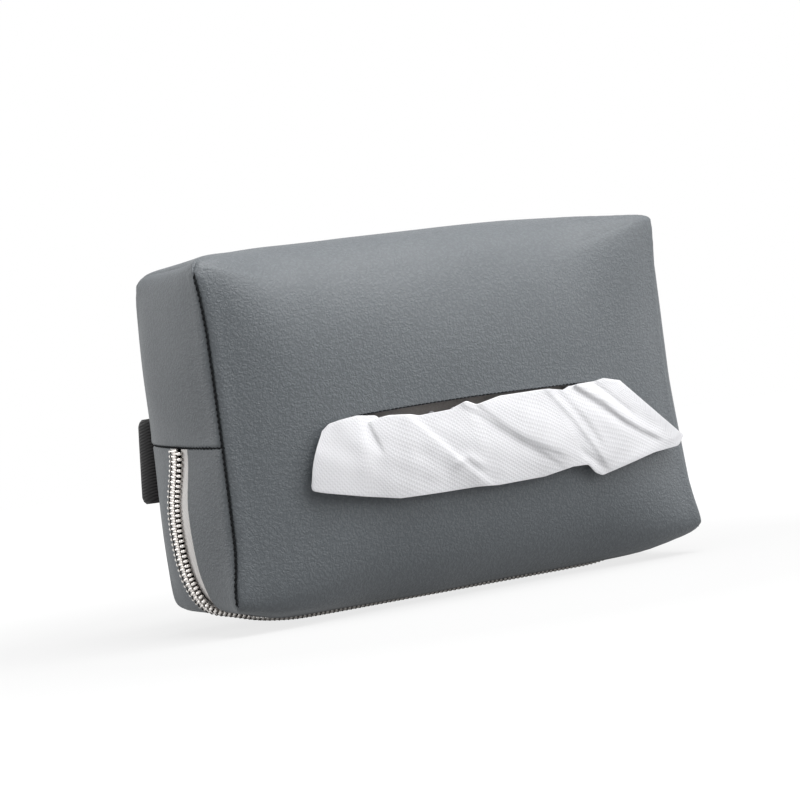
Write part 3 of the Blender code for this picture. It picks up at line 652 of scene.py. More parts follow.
@dataclass
class Finishes:
    """Every material of the holder, made once."""

    leather: Material = made_once(PebbledLeather())
    facing: Material = made_once(FeltedCloth("grey_brown_facing_felt", "#8A8682", "#5E5B58"))
    # second colour of each woven cloth: painted shade in the gaps between its threads
    tape: Material = made_once(WovenCloth("light_grey_zip_tape", "#F2EFED", "#D6D2CF", rib=1.1 * MM,
                                           thread=0.8 * MM, slant=0.9, depth=0.04 * MM))
    binding: Material = made_once(WovenCloth("charcoal_binding_tape", "#3A3B3D", "#1C1D1E", rib=1.0 * MM))
    webbing: Material = made_once(WovenCloth("black_twill_webbing", "#343334", "#0C0C0D", rib=4.4 * MM,
                                           thread=1.1 * MM, slant=4.0, depth=0.2 * MM))
    tissue: Material = made_once(EmbossedTissue())
    coil: Material = made_once(PlatedMetal("metallised_coil", roughness=0.3))
    zinc: Material = made_once(PlatedMetal("plated_zinc_casting", "#CFCDCB", 0.2, 2.0 * MM))
    acetal: Material = made_once(MouldedAcetal())
    # dark thread of the stitches, also the colour of the seams' painted shade cords
    dark_thread_and_gap_shade: Material = made_once(SewingThread("dark_slate_thread", "#191B1D"))
    chain_thread: Material = made_once(SewingThread("brown_grey_chain_thread", "#453E3A"))


# The pouch's form


@dataclass(frozen=True)
class PouchShape:
    """The filled pouch as one formula of three shares, -1 to 1, of its half length, depth and height.

    A cross-section is a superellipse: soft in the middle of the length and crisp at the ends. The tables give,
    by height share, where the front's two upright seams stand, and by length share, how the top sags.
    """

    seam_span: float = 185 * MM
    seam_depth: float = 62 * MM
    seam_height: float = 122 * MM
    front_crown: float = 8.0 * MM
    back_crown: float = 7.0 * MM
    end_crown: float = 7.0 * MM
    top_crown: float = 5.2 * MM
    bottom_crown: float = 6.2 * MM
    rest_flat: float = 1.0 * MM
    left_pull: float = 3.4 * MM
    right_pull: float = 1.2 * MM
    pull_width: float = 0.35
    taper: float = 0.011
    crown_power: float = 2.8
    length_power: float = 3.3
    upper_bend: tuple[float, float, float] = (2.8, 15.0, 28.0)
    lower_bend: tuple[float, float, float] = (3.0, 20.0, 14.0)
    end_bend: float = 24.0
    corner_radius: tuple[float, float] = (3.6 * MM, 1.5 * MM)
    corner_start: float = 0.84
    end_sag: float = 0.8 * MM
    floor_curve: float = 5.0 * MM
    leather: float = 1.3 * MM
    gap: float = 0.3 * MM
    shift_x: float = 2.4 * MM
    shift_y: float = 7.6 * MM
    level_tilt: float = 2.3 * MM
    level_drop: float = 0.4 * MM
    top_tilt: float = 0.9 * MM
    zip_shift: tuple[float, float, float] = (-1.9 * MM, 3.5 * MM, -3.5 * MM)
    left_seam: tuple[tuple[float, float], ...] = (
        (-1.0, 94.6), (-0.85, 94.8), (-0.72, 93.4), (-0.6, 92.6), (-0.3, 92.2), (0.0, 92.0), (0.3, 91.8),
        (0.6, 91.8), (0.78, 92.5), (0.9, 93.5), (1.0, 93.0))
    right_seam: tuple[tuple[float, float], ...] = (
        (-1.0, 94.0), (-0.9, 93.4), (-0.76, 91.4), (-0.53, 89.2), (-0.29, 87.6), (0.0, 86.8), (0.29, 87.0),
        (0.53, 87.9), (0.76, 89.1), (0.9, 90.3), (1.0, 90.9))
    top_sag: tuple[tuple[float, float], ...] = (
        (-1.0, 1.9), (-0.9, 1.0), (-0.78, 0.2), (-0.7, 0.1), (-0.62, -0.1), (-0.5, -0.8), (-0.37, -1.2),
        (-0.21, -1.0), (0.03, -0.6), (0.27, -0.2), (0.43, 0.1), (0.55, 0.0), (0.68, -0.3), (0.8, -1.2), (0.9, -1.0),
        (1.0, 0.3))
    foot_rise: tuple[tuple[float, float], ...] = (
        (-1.0, 1.3), (-0.95, 2.3), (-0.9, 2.5), (-0.85, 1.6), (-0.8, 0.8), (-0.7, 0.4), (-0.62, 0.2), (-0.4, 0.0),
        (0.0, 0.0), (0.6, 0.0), (0.75, 0.4), (0.85, 1.6), (0.93, 1.9), (1.0, 1.0))
    zip_rise: tuple[tuple[float, float], ...] = (
        (-1.0, 1.2), (-0.4, 1.0), (0.2, 0.95), (0.6, 0.9), (0.85, 0.6), (1.0, 0.4))

    @property
    def middle(self) -> float:
        """Height of the pouch's middle above what it stands on."""
        return self.seam_height / 2 + self.bottom_crown - self.rest_flat

    @property
    def back_face(self) -> float:
        """Depth of the back's crown, from the pouch's own middle."""
        return self.seam_depth / 2 + self.back_crown

    @staticmethod
    def smooth_table(rows: tuple[tuple[float, float], ...], share: Array) -> Array:
        """Read a table of (share, mm) with rounded joints, in metres.

        Args:
            rows: pairs of share and mm.
            share: where to read.

        Returns:
            Values in metres.
        """
        data = np.array(rows)
        fine = np.linspace(-1, 1, 201)
        value = np.interp(fine, data[:, 0], data[:, 1])
        width = 8
        ends = np.concatenate([2 * value[0] - value[width:0:-1], value, 2 * value[-1] - value[-2:-width - 2:-1]])
        soft = np.convolve(ends, np.hanning(2 * width + 3)[1:-1] / np.hanning(2 * width + 3)[1:-1].sum(), "valid")
        return np.interp(share, fine, soft) * MM

    def swell(self, share: Array, power: float | None = None) -> Array:
        """Height of a panel's crown, 1 in its middle and 0 at its seams."""
        return 1 - np.abs(share) ** (power or self.crown_power)

    @staticmethod
    def bend(first: Array, second: Array, power: Array) -> Array:
        """Shrink that rounds an edge; a high power keeps it crisp."""
        return (1 + np.abs(first * second) ** power) ** (-1 / power)

    def roundness(self, u: Array, w: Array) -> Array:
        """Power of the cross-section at a length share, above or below the middle."""
        middle, left, right = (np.where(w > 0, *pair) for pair in zip(self.upper_bend, self.lower_bend))
        return middle + (np.where(u < 0, left, right) - middle) * np.abs(u) ** np.where(w > 0, 8, 5)

    def zip_offset(self, u: Array, w: Array) -> Array:
        """How far the zip's line lies to the back: it runs slanting at the left end.

        Args:
            u, w: length and height shares.

        Returns:
            The offset.
        """
        start, middle, foot = self.zip_shift
        on_end = ease((-0.45 - u) / 0.5)
        shift = start * ease((-0.1 - u) / 0.8) * ease((0.2 - w) / 0.2)
        return shift + on_end * (middle * ease((-w - 0.02) / 0.35) + foot * ease((-w - 0.68) / 0.32))

    def half_depth(self, u: Array, v: Array) -> Array:
        """Half depth of the cross-section at a length share, in front or behind."""
        crown = np.where(v < 0, self.front_crown, self.back_crown)
        return self.seam_depth / 2 + crown * self.swell(u, self.length_power)

    def half_height(self, u: Array, w: Array) -> Array:
        """Half height of the cross-section at a length share, above or below."""
        crown = np.where(w > 0, self.top_crown, self.bottom_crown)
        return self.seam_height / 2 + crown * self.swell(u)

    def half_length(self, u: Array, v: Array, w: Array) -> Array:
        """Half length at the seam lines, drawn in where the front's seams are.

        Args:
            u, v, w: shares of the points.

        Returns:
            The half lengths.
        """
        plain = self.seam_span / 2 * (1 - self.taper * w) * self.bend(1.0, w, self.end_bend)
        table = np.where(u < 0, self.smooth_table(self.left_seam, w), self.smooth_table(self.right_seam, w))
        near = np.where(v < 0, np.abs(v) ** self.crown_power, 0.0)
        return plain + (table - plain) * near

    def soften(self, u: Array, v: Array, w: Array) -> tuple[Array, Array]:
        """How far the points near an upright corner move in, along and across, above the seam's end.

        Args:
            u, v, w: shares of the points.

        Returns:
            The moves along and across.
        """
        share = ease((w - self.corner_start) / (1 - self.corner_start))
        radius = np.where((u < 0) & (v < 0), *self.corner_radius) * share
        along = np.clip(radius - (1 - np.abs(u)) * self.seam_span / 2, 0, None)
        across = np.clip(radius - (1 - np.abs(v)) * self.seam_depth / 2, 0, None)
        scale = 1 - np.maximum(along, across) / np.maximum(np.hypot(along, across), 1e-9)
        return along * scale, across * scale

    def skin(self, u: Any, v: Any, w: Any, inset: Any = 0.0) -> Array:
        """Points of the pouch's surface in the holder's frame.

        Args:
            u: share of the half length, to the right.
            v: share of the half depth, to the back.
            w: share of the half height, upwards.
            inset: distance into the wall.

        Returns:
            An array of points, the last axis x, y and z.
        """
        u, v, w, inset = np.broadcast_arrays(*(np.asarray(a, float) for a in (u, v, w, inset)))
        v = v + self.zip_offset(u, w) / (self.seam_depth / 2) * (1 - v ** 2) ** 2
        across = self.bend(v, w, self.roundness(u, w))
        along = self.bend(u, w, self.end_bend)
        edge = self.bend(1.0, w, self.end_bend)
        pull = np.where(u < 0, self.left_pull, self.right_pull) * np.exp(-((w / self.pull_width) ** 2))
        crown = (self.end_crown * self.swell(w) - pull) * self.swell(v)
        plain = self.seam_span / 2
        reach = plain + (self.half_length(u, v, w) - plain) * np.abs(u) ** 5
        x = u * along / edge * (reach - inset + crown)
        y = v * across * (self.half_depth(u, v) - inset)
        near_x, near_y = self.soften(u, v, w)
        x, y = x - np.sign(u) * near_x, y - np.sign(v) * near_y
        sag = self.smooth_table(self.top_sag, u) + self.top_tilt * v * np.where(u < 0, u ** 8, 0.0)
        sag = sag - self.end_sag * (1 - v ** 2) * np.where(u < 0, u ** 8, 0.0)
        lift = sag * np.clip((w - 0.55) / 0.4, 0, 1)
        lift = lift + self.smooth_table(self.foot_rise, u) * np.clip((-w - 0.6) / 0.4, 0, 1)
        tilt = (self.level_tilt * v - self.level_drop) * np.exp(-((w / 0.3) ** 2)) * np.where(u < 0, u ** 8, 0.0)
        z = self.middle + w * across * along * (self.half_height(u, w) - inset) + lift + tilt
        floor = self.smooth_table(self.zip_rise, u) + self.floor_curve * np.abs(v) ** 1.5 + inset
        gap = (z - floor) / 2
        z = np.where(w < -0.7, (z + floor) / 2 + np.sqrt(gap ** 2 + (0.25 * MM) ** 2), z)
        return np.stack([x - self.shift_x, y - self.shift_y, np.maximum(z, inset)], axis=-1)

    def front_share(self, u: Array, z: Array) -> Array:
        """Height share of the front's point at a height above the pouch's middle.

        Args:
            u: length share.
            z: height from the pouch's middle.

        Returns:
            The height share.
        """
        part = np.clip(z / self.half_height(u, z), -0.97, 0.97)
        power = self.roundness(u, z)
        return part * (1 - np.abs(part) ** power) ** (-1 / power)

    def front_point(self, x: Array, z: Array, inset: float = 0.0) -> Array:
        """Point of the front's face; x and z count from the pouch's middle.

        Args:
            x, z: place on the front.
            inset: distance into the wall.

        Returns:
            The points.
        """
        u = 2 * x / self.seam_span
        power = self.roundness(u, z)
        part = np.clip(np.abs(z) / self.half_height(u, z), 0, 0.97)
        y = -(self.half_depth(u, -np.ones_like(u)) - inset) * (1 - part ** power) ** (1 / power)
        return np.stack([x - self.shift_x, y - self.shift_y, z + self.middle], axis=-1)


def share_lines(half: float, step: float, marks: Sequence[tuple[float, float]] = ()) -> Array:
    """Lines across a panel, close together at its seams and at marked places.

    Args:
        half: half of the panel's size.
        step: widest distance between two lines.
        marks: (place, reach): places from the middle, in metres, with fine lines on both sides up to reach.

    Returns:
        Shares from -1 to 1.
    """
    fine = np.array([0, 0.28, 0.6, 1.0, 1.5, 2.2, 3.2, 4.5, 6.2, 8.4]) * MM
    places = [0.0]
    for edge in (-half, half):
        places += list(edge - math.copysign(1, edge) * fine)
    for spot, reach in marks:
        for near in fine[fine <= reach]:
            places += [spot - near, spot + near]
    places = sorted({round(p, 7) for p in places if abs(p) <= half + 1e-9})
    filled = [places[0]]
    for here, there in zip(places[:-1], places[1:]):
        count = max(1, math.ceil((there - here) / step - 1e-6))
        filled += [here + (there - here) * (k + 1) / count for k in range(count)]
    return np.array(filled) / half


@dataclass
class Slot:
    """The dispensing slot: a slit in the front whose lips are parted by the tissue."""

    left: float = -46.5 * MM
    right: float = 57.0 * MM
    end_height: float = 2.4 * MM
    lift: float = 1.1 * MM
    sag: float = 8.0 * MM

    def hump(self, x: Array) -> Array:
        """Share of the lips' parting at x, which is from the pouch's middle."""
        centre, half = (self.left + self.right) / 2, (self.right - self.left) / 2
        return np.clip(1 - ((x - centre) / half) ** 2, 0, 1)

    def part(self, x: Array, z: Array) -> Array:
        """Move heights beside the slit away from it, less the further they are from it.

        Args:
            x, z: place on the front, from the pouch's middle.

        Returns:
            The parted heights.
        """
        up = self.lift * self.hump(x) * np.exp(-np.maximum(z - self.end_height / 2, 0) / (9 * MM))
        down = self.sag * self.hump(x) * np.exp(-np.maximum(-z - self.end_height / 2, 0) / (17 * MM))
        return z + np.where(z >= 0, up, -down)


@dataclass
class LeatherCover:
    """The leather shell, with its seams, tucks, slot and zip opening."""

    shape: PouchShape
    slot: Slot
    finishes: Finishes
    step: float = 2.9 * MM
    zip_near: float = 7.8 * MM
    zip_far: float = 5.4 * MM
    zip_gape: float = 1.6 * MM
    seam_top: float = 0.94
    seam_foot: float = 0.985
    lip_margin: float = 0.3 * MM
    seam_depth: float = 0.95 * MM
    seam_width: float = 0.65 * MM
    # radius of the dark cord along each seam's valley, painted shade of the gap between the leathers
    gap_shade_cord: float = 0.3 * MM
    right_turn: float = 1.4 * MM

    def seam_relief(self, u: Array, v: Array, w: Array) -> Array:
        """Height added to the skin by its seams, tucks and soft waves, negative into the pouch.

        Args:
            u, v, w: shares of the points.

        Returns:
            Heights along the normals.
        """
        shape = self.shape
        on_front = (1 - np.abs(u)) * shape.seam_span / 2
        on_side = (1 - np.abs(v)) * shape.seam_depth / 2
        side = np.where(u < 0, on_front + on_side, np.abs(on_side - on_front - self.right_turn))
        ends = np.where(w > 0, self.seam_top, self.seam_foot) - np.abs(w)
        ends = np.clip(ends / np.where((u < 0) & (v < 0), 0.05, 0.14), 0, 1)
        upright = (np.abs(w) < 1 - 1e-6) | (side < 0.1 * MM)
        valley = -self.seam_depth * np.exp(-((side / self.seam_width) ** 2))
        roll = 0.32 * MM * np.exp(-(((side - 3.0 * MM) / (1.7 * MM)) ** 2))
        relief = np.where(upright, (valley + roll) * ends, 0.0)
        on_end = np.abs(u) > 1 - 1e-6
        level = np.abs(w) * shape.seam_height / 2
        valley = -0.55 * MM * np.exp(-((level / (0.6 * MM)) ** 2))
        lap = 0.35 * MM * np.exp(-np.maximum(level - 0.8 * MM, 0) / (4 * MM)) * (w > 0)
        fade = np.clip((1 - np.abs(v)) / np.where(u < 0, 0.04, 0.4) - np.where(u < 0, 0.0, 0.6), 0.0, 1)
        relief = relief + np.where(on_end, (valley + lap) * fade, 0.0)
        return relief + self.tucks(u, v, w) + self.waves(u, v, w)

    def tucks(self, u: Array, v: Array, w: Array) -> Array:
        """Pinches where the upright seams end, each with short folds running from it.

        Args:
            u, v, w: shares of the points.

        Returns:
            Heights along the normals.
        """
        shape = self.shape
        a = (1 - np.abs(u)) * shape.seam_span / 2
        b = (1 - np.abs(v)) * shape.seam_depth / 2
        c = (self.seam_top - w) * shape.seam_height / 2
        reach = np.sqrt(a ** 2 + b ** 2 + c ** 2)
        near = np.exp(-((reach - 4 * MM) / (4 * MM)) ** 2) * (a < 1e-6)
        pinch = -0.25 * MM * np.exp(-((reach / (1.6 * MM)) ** 2)) * (a < 1e-6)
        fold = 0.3 * MM * np.exp(-(((b - 1.4 * c - 1.0 * MM) / (1.5 * MM)) ** 2)) * near
        crease = -0.3 * MM * np.exp(-(((b + 0.9 * c - 4.0 * MM) / (1.3 * MM)) ** 2)) * near
        return pinch + fold + crease

    def waves(self, u: Array, v: Array, w: Array) -> Array:
        """Slow unevenness of stuffed leather, fading at the seams.

        Args:
            u, v, w: shares of the points.

        Returns:
            Heights along the normals.
        """
        x, y, z = u * 92.5, v * 31.0, w * 61.0
        wave = (np.sin(x / 17 + 0.9 * np.sin(z / 23)) * np.cos(z / 19 + 0.4)
                + 0.6 * np.sin(x / 8.3 - z / 12 + 1.3) * np.sin(z / 9.7 + y / 11)
                + 0.5 * np.sin(y / 7.7 + x / 31) * np.cos(z / 13 - 0.7))
        fade = np.clip((1 - np.maximum(np.minimum(np.abs(u), np.abs(v)), np.minimum(np.abs(u), np.abs(w)))) * 4, 0, 1)
        return 0.16 * MM * wave * fade

    def lines(self) -> tuple[Array, Array, Array]:
        """Share lines along the length, the depth and the height.

        Returns:
            The lines of u, v and w.
        """
        shape = self.shape
        u = share_lines(shape.seam_span / 2, self.step, ((self.slot.left, 2 * MM), (self.slot.right, 2 * MM)))
        v = share_lines(shape.seam_depth / 2, self.step, ((self.zip_far, 2 * MM), (-self.zip_near, 2 * MM)))
        lip = self.slot.end_height / 2 * shape.seam_height / 2 / shape.half_height(0.0, 1.0)
        tuck, foot = (end * shape.seam_height / 2 for end in (self.seam_top, self.seam_foot))
        w = share_lines(shape.seam_height / 2, self.step,
                        ((0.0, 1.6 * MM), (lip, 3.3 * MM), (-lip, 3.3 * MM), (tuck, 1.6 * MM), (-foot, 1.6 * MM)))
        return u, v, w

    def cells(self) -> tuple[Array, list[tuple[int, ...]]]:
        """Share points and faces of the outer side.

        Returns:
            The shares u, v, w of each vertex, and the faces as vertex numbers.
        """
        us, vs, ws = self.lines()
        shape, slot = self.shape, self.slot
        found: dict[tuple[float, ...], int] = {}
        shares: list[tuple[float, float, float]] = []

        def number(u: float, v: float, w: float) -> int:
            """Number of a vertex, made on its first use.

            Args:
                u, v, w: its shares.

            Returns:
                The number.
            """
            key = (round(u, 7), round(v, 7), round(w, 7))
            if key not in found:
                found[key] = len(shares)
                shares.append((u, v, w))
            return found[key]

        near, far = -2 * self.zip_near / shape.seam_depth, 2 * self.zip_far / shape.seam_depth
        lip = slot.end_height / 2 / shape.half_height(0.0, 1.0)
        left, right = 2 * slot.left / shape.seam_span, 2 * slot.right / shape.seam_span
        faces = []

        def panel(first: Array, second: Array, corner: Any, skip: Any) -> None:
            """Add the cells of one side of the box.

            Args:
                first, second: share lines of its two directions.
                corner: turns a pair of shares into u, v, w.
                skip: tells which cells stay open.
            """
            for a0, a1 in zip(first[:-1], first[1:]):
                for b0, b1 in zip(second[:-1], second[1:]):
                    if not skip((a0 + a1) / 2, (b0 + b1) / 2):
                        faces.append(tuple(number(*corner(a, b)) for a, b in ((a0, b0), (a1, b0), (a1, b1), (a0, b1))))

        panel(us, ws, lambda a, b: (a, -1.0, b), lambda a, b: left < a < right and abs(b) < lip)
        panel(us, ws, lambda a, b: (a, 1.0, b), lambda a, b: False)
        panel(us, vs, lambda a, b: (a, b, 1.0), lambda a, b: False)
        panel(us, vs, lambda a, b: (a, b, -1.0), lambda a, b: near < b < far)
        for end in (-1.0, 1.0):
            panel(vs, ws, lambda a, b, e=end: (e, a, b), lambda a, b: b < 0 and near < a < far)
        return np.array(shares), faces

    def gape(self, u: Array, v: Array, w: Array) -> Array:
        """Depth shares with the opening's front edge drawn forward along the left end, where the tape shows.

        Args:
            u, v, w: shares of the points.

        Returns:
            The new depth shares.
        """
        share = np.clip((-w - 0.02) / 0.96, 0, 1)
        hump = np.sin(math.pi * share ** 1.1) * (u < -1 + 1e-6) * (v < 0)
        near = 2 * self.zip_near / self.shape.seam_depth
        return v - 2 * self.zip_gape / self.shape.seam_depth * hump * np.clip((1 + v) / (1 - near), 0, 1)

    @staticmethod
    def steady(normals: Array, shares: Array) -> Array:
        """Normals that turn to the corner's diagonal where the cells get too thin to tell.

        Args:
            normals: unit normals.
            shares: u, v, w of each point.

        Returns:
            The mixed normals.
        """
        part = np.clip((np.abs(shares).min(axis=1, keepdims=True) - 0.94) / 0.04, 0, 1)
        mixed = normals * (1 - part) + np.sign(shares) / math.sqrt(3) * part
        return mixed / np.linalg.norm(mixed, axis=1, keepdims=True)

    def build(self) -> list[Piece]:
        """Make the cover and its seam threads, whose dark cords are painted shade in the seam gaps.

        Returns:
            The cover and the threads.
        """
        shares, faces = self.cells()
        shape = self.shape
        u, v, w = shares.T
        front = (v < -1 + 1e-6) & (np.abs(w) < 0.8)
        flat_z = w * shape.bend(1.0, w, shape.roundness(u, w)) * shape.half_height(u, w)
        parted = shape.front_share(u, self.slot.part(u * shape.seam_span / 2, flat_z))
        seen_w = np.where(front, parted, w)
        base = shape.skin(u, self.gape(u, v, w), seen_w)
        scratch = outward_faces(mesh_piece("cover_scratch", base, faces))
        normals = np.zeros(len(base) * 3)
        scratch.data.vertices.foreach_get("normal", normals)
        normals = self.steady(normals.reshape(-1, 3), shares)
        outer_faces = [tuple(p.vertices) for p in scratch.data.polygons]
        bpy.data.objects.remove(scratch, do_unlink=True)
        relief = self.seam_relief(u, v, seen_w)
        rims: dict[frozenset[int], tuple[int, int] | None] = {}
        for face in outer_faces:
            for here, there in zip(face, face[1:] + face[:1]):
                key = frozenset((here, there))
                rims[key] = None if key in rims else (here, there)
        open_edges = [pair for pair in rims.values() if pair]
        rim_points = sorted({p for pair in open_edges for p in pair})
        relief[rim_points] -= 0.35 * MM
        outer = base + normals * relief[:, None]
        outer[:, 2] = np.maximum(outer[:, 2], 0.0)
        inner = base + normals * (np.minimum(relief, 0.0) - shape.leather)[:, None]
        inner[:, 2] = np.maximum(inner[:, 2], shape.leather)
        middle = (outer + inner)[rim_points] / 2
        count = len(outer)
        ring = {p: 2 * count + k for k, p in enumerate(rim_points)}
        all_faces = outer_faces + [tuple(count + p for p in reversed(face)) for face in outer_faces]
        for here, there in open_edges:
            all_faces.append((there, here, ring[here], ring[there]))
            all_faces.append((ring[there], ring[here], count + here, count + there))
        points = np.concatenate([outer, inner, middle])
        cover = outward_faces(mesh_piece("leather_cover", points, all_faces))
        place(cover, self.finishes.leather, Body.POUCH, "leather", "outer_cover")
        return [cover] + self.threads()

    def threads(self) -> list[Piece]:
        """The dark seam lines with their stitches, on the corners, the ends and the slot; each seam's dark cord is
        painted shade of the gap between the leathers.

        Returns:
            The threads and stitch rows.
        """
        shape = self.shape
        repeat = PathRepeat()
        pieces = []
        for side_v, depth in DEPTHS:
            for side_u, end in ENDS:
                left = side_u < 0
                out = np.array([side_u, side_v, 0.0]) / math.sqrt(2) if left else np.array([1.0, 0.0, 0.0])
                turn = 1.0 if left else 1 - 2 * self.right_turn / shape.seam_depth
                ws = np.linspace(-self.seam_foot if left else -0.88, self.seam_top, 181)
                path = shape.skin(side_u, side_v * turn, ws)
                sunk = 0.42 * MM if left and side_v < 0 else 0.95 * MM
                pieces.append(self.seam(f"corner_seam_{depth}_{end}", path, out, sunk, repeat))
        for side_u, end, reach in ((-1, "left", 0.99), (1, "right", 0.8)):
            vs = np.linspace(-reach, 0.9 * reach, 61)
            out = np.array([side_u, 0.0, 0.0])
            sunk = 0.28 * MM if side_u < 0 else 0.6 * MM
            pieces.append(self.seam(f"level_seam_{end}", shape.skin(side_u, vs, 0.0), out, sunk, repeat))
        return pieces + self.slot_stitches(repeat)

    def seam(self, name: str, path: Array, out: Array, depth: float, repeat: "PathRepeat") -> Piece:
        """A seam's dark line: a dark cord in the valley, painted shade of the gap between the two leathers, with
        stitches lying on it, its ends drawn into the leather.

        Args:
            name: name of the piece.
            path: the seam's line on the skin.
            out: direction out of the seam.
            depth: how far the painted shade cord lies below the skin.
            repeat: the tool that repeats the stitches.

        Returns:
            The thread.
        """
        length = run_length(path)
        near = np.clip(1 - np.minimum(length, length[-1] - length) / (1.6 * MM), 0, 1)
        path = path - out * (depth + 0.6 * MM * near ** 2)[:, None]
        # dark cord along the valley: painted shade of the gap between the leathers; the stitches on it are real thread
        gap_shade_cord = tube(f"{name}_cord", path, self.gap_shade_cord, 6)
        stitches = repeat.run(f"{name}_stitches", path + out * 0.3 * MM, out, stitch_shape(1.7 * MM, 0.36 * MM, 0.42),
                              2.0 * MM, self.finishes.dark_thread_and_gap_shade)
        made = join_pieces(name, [gap_shade_cord, stitches])
        return place(made, self.finishes.dark_thread_and_gap_shade, Body.POUCH, "binding")

    def slot_stitches(self, repeat: "PathRepeat") -> list[Piece]:
        """The fine stitch rows round the slot, which hold the facing. Their stitches overlap into an unbroken dark
        line: real stitching, thickened into painted shade along the slot's lips.

        Args:
            repeat: the tool that repeats the stitches.

        Returns:
            The two rows.
        """
        shape, slot = self.shape, self.slot
        made = []
        for sign, name in ((1, "upper"), (-1, "lower")):
            xs = np.linspace(slot.left + 0.5 * MM, slot.right + 2.0 * MM, 121)
            z = np.full_like(xs, sign * (slot.end_height / 2 + self.lip_margin))
            path = shape.front_point(xs, slot.part(xs, z))
            out = np.array([0.0, -1.0, 0.0])
            # stitches 1.6 mm long every 1.5 mm close into one dark line: painted shade along the slot's lip, over real
            # stitching
            piece = repeat.run(f"slot_stitches_{name}", path + out * 0.04 * MM, out, stitch_shape(1.6 * MM, 0.26 * MM),
                               1.5 * MM, self.finishes.dark_thread_and_gap_shade)
            made.append(place(piece, self.finishes.dark_thread_and_gap_shade, Body.POUCH, "facing"))
        return made


def join_pieces(name: str, pieces: Sequence[Piece]) -> Piece:
    """Join meshes at the origin into one new piece and remove them.

    Args:
        name: name of the new piece.
        pieces: meshes to join.

    Returns:
        The new piece.
    """
    points, faces, start = [], [], 0
    for piece in pieces:
        co = np.zeros(len(piece.data.vertices) * 3)
        piece.data.vertices.foreach_get("co", co)
        points.append(co.reshape(-1, 3))
        faces += [tuple(start + i for i in p.vertices) for p in piece.data.polygons]
        start += len(piece.data.vertices)
        bpy.data.objects.remove(piece, do_unlink=True)
    return mesh_piece(name, np.concatenate(points), faces)


def stitch_shape(length: float, radius: float, lean: float = 0.0) -> tuple[Array, list[tuple[int, ...]]]:
    """Points and faces of one stitch, lying along Z with its back to -X and leaning to +Y.

    Args:
        length: length of the stitch.
        radius: half its width.
        lean: share of the length by which it slants.

    Returns:
        Points and faces.
    """
    rings, sides = [], 6
    for z, size in ((-0.5, 0.35), (-0.38, 0.85), (0.0, 1.0), (0.38, 0.85), (0.5, 0.35)):
        lift = -1.2 * radius * (2 * abs(z)) ** 3
        for k in range(sides):
            angle = 2 * math.pi * k / sides
            rings.append((0.8 * radius * size * math.cos(angle) + lift,
                          radius * size * math.sin(angle) + lean * z * length, z * length))
    return np.array(rings), ring_faces(5, sides)


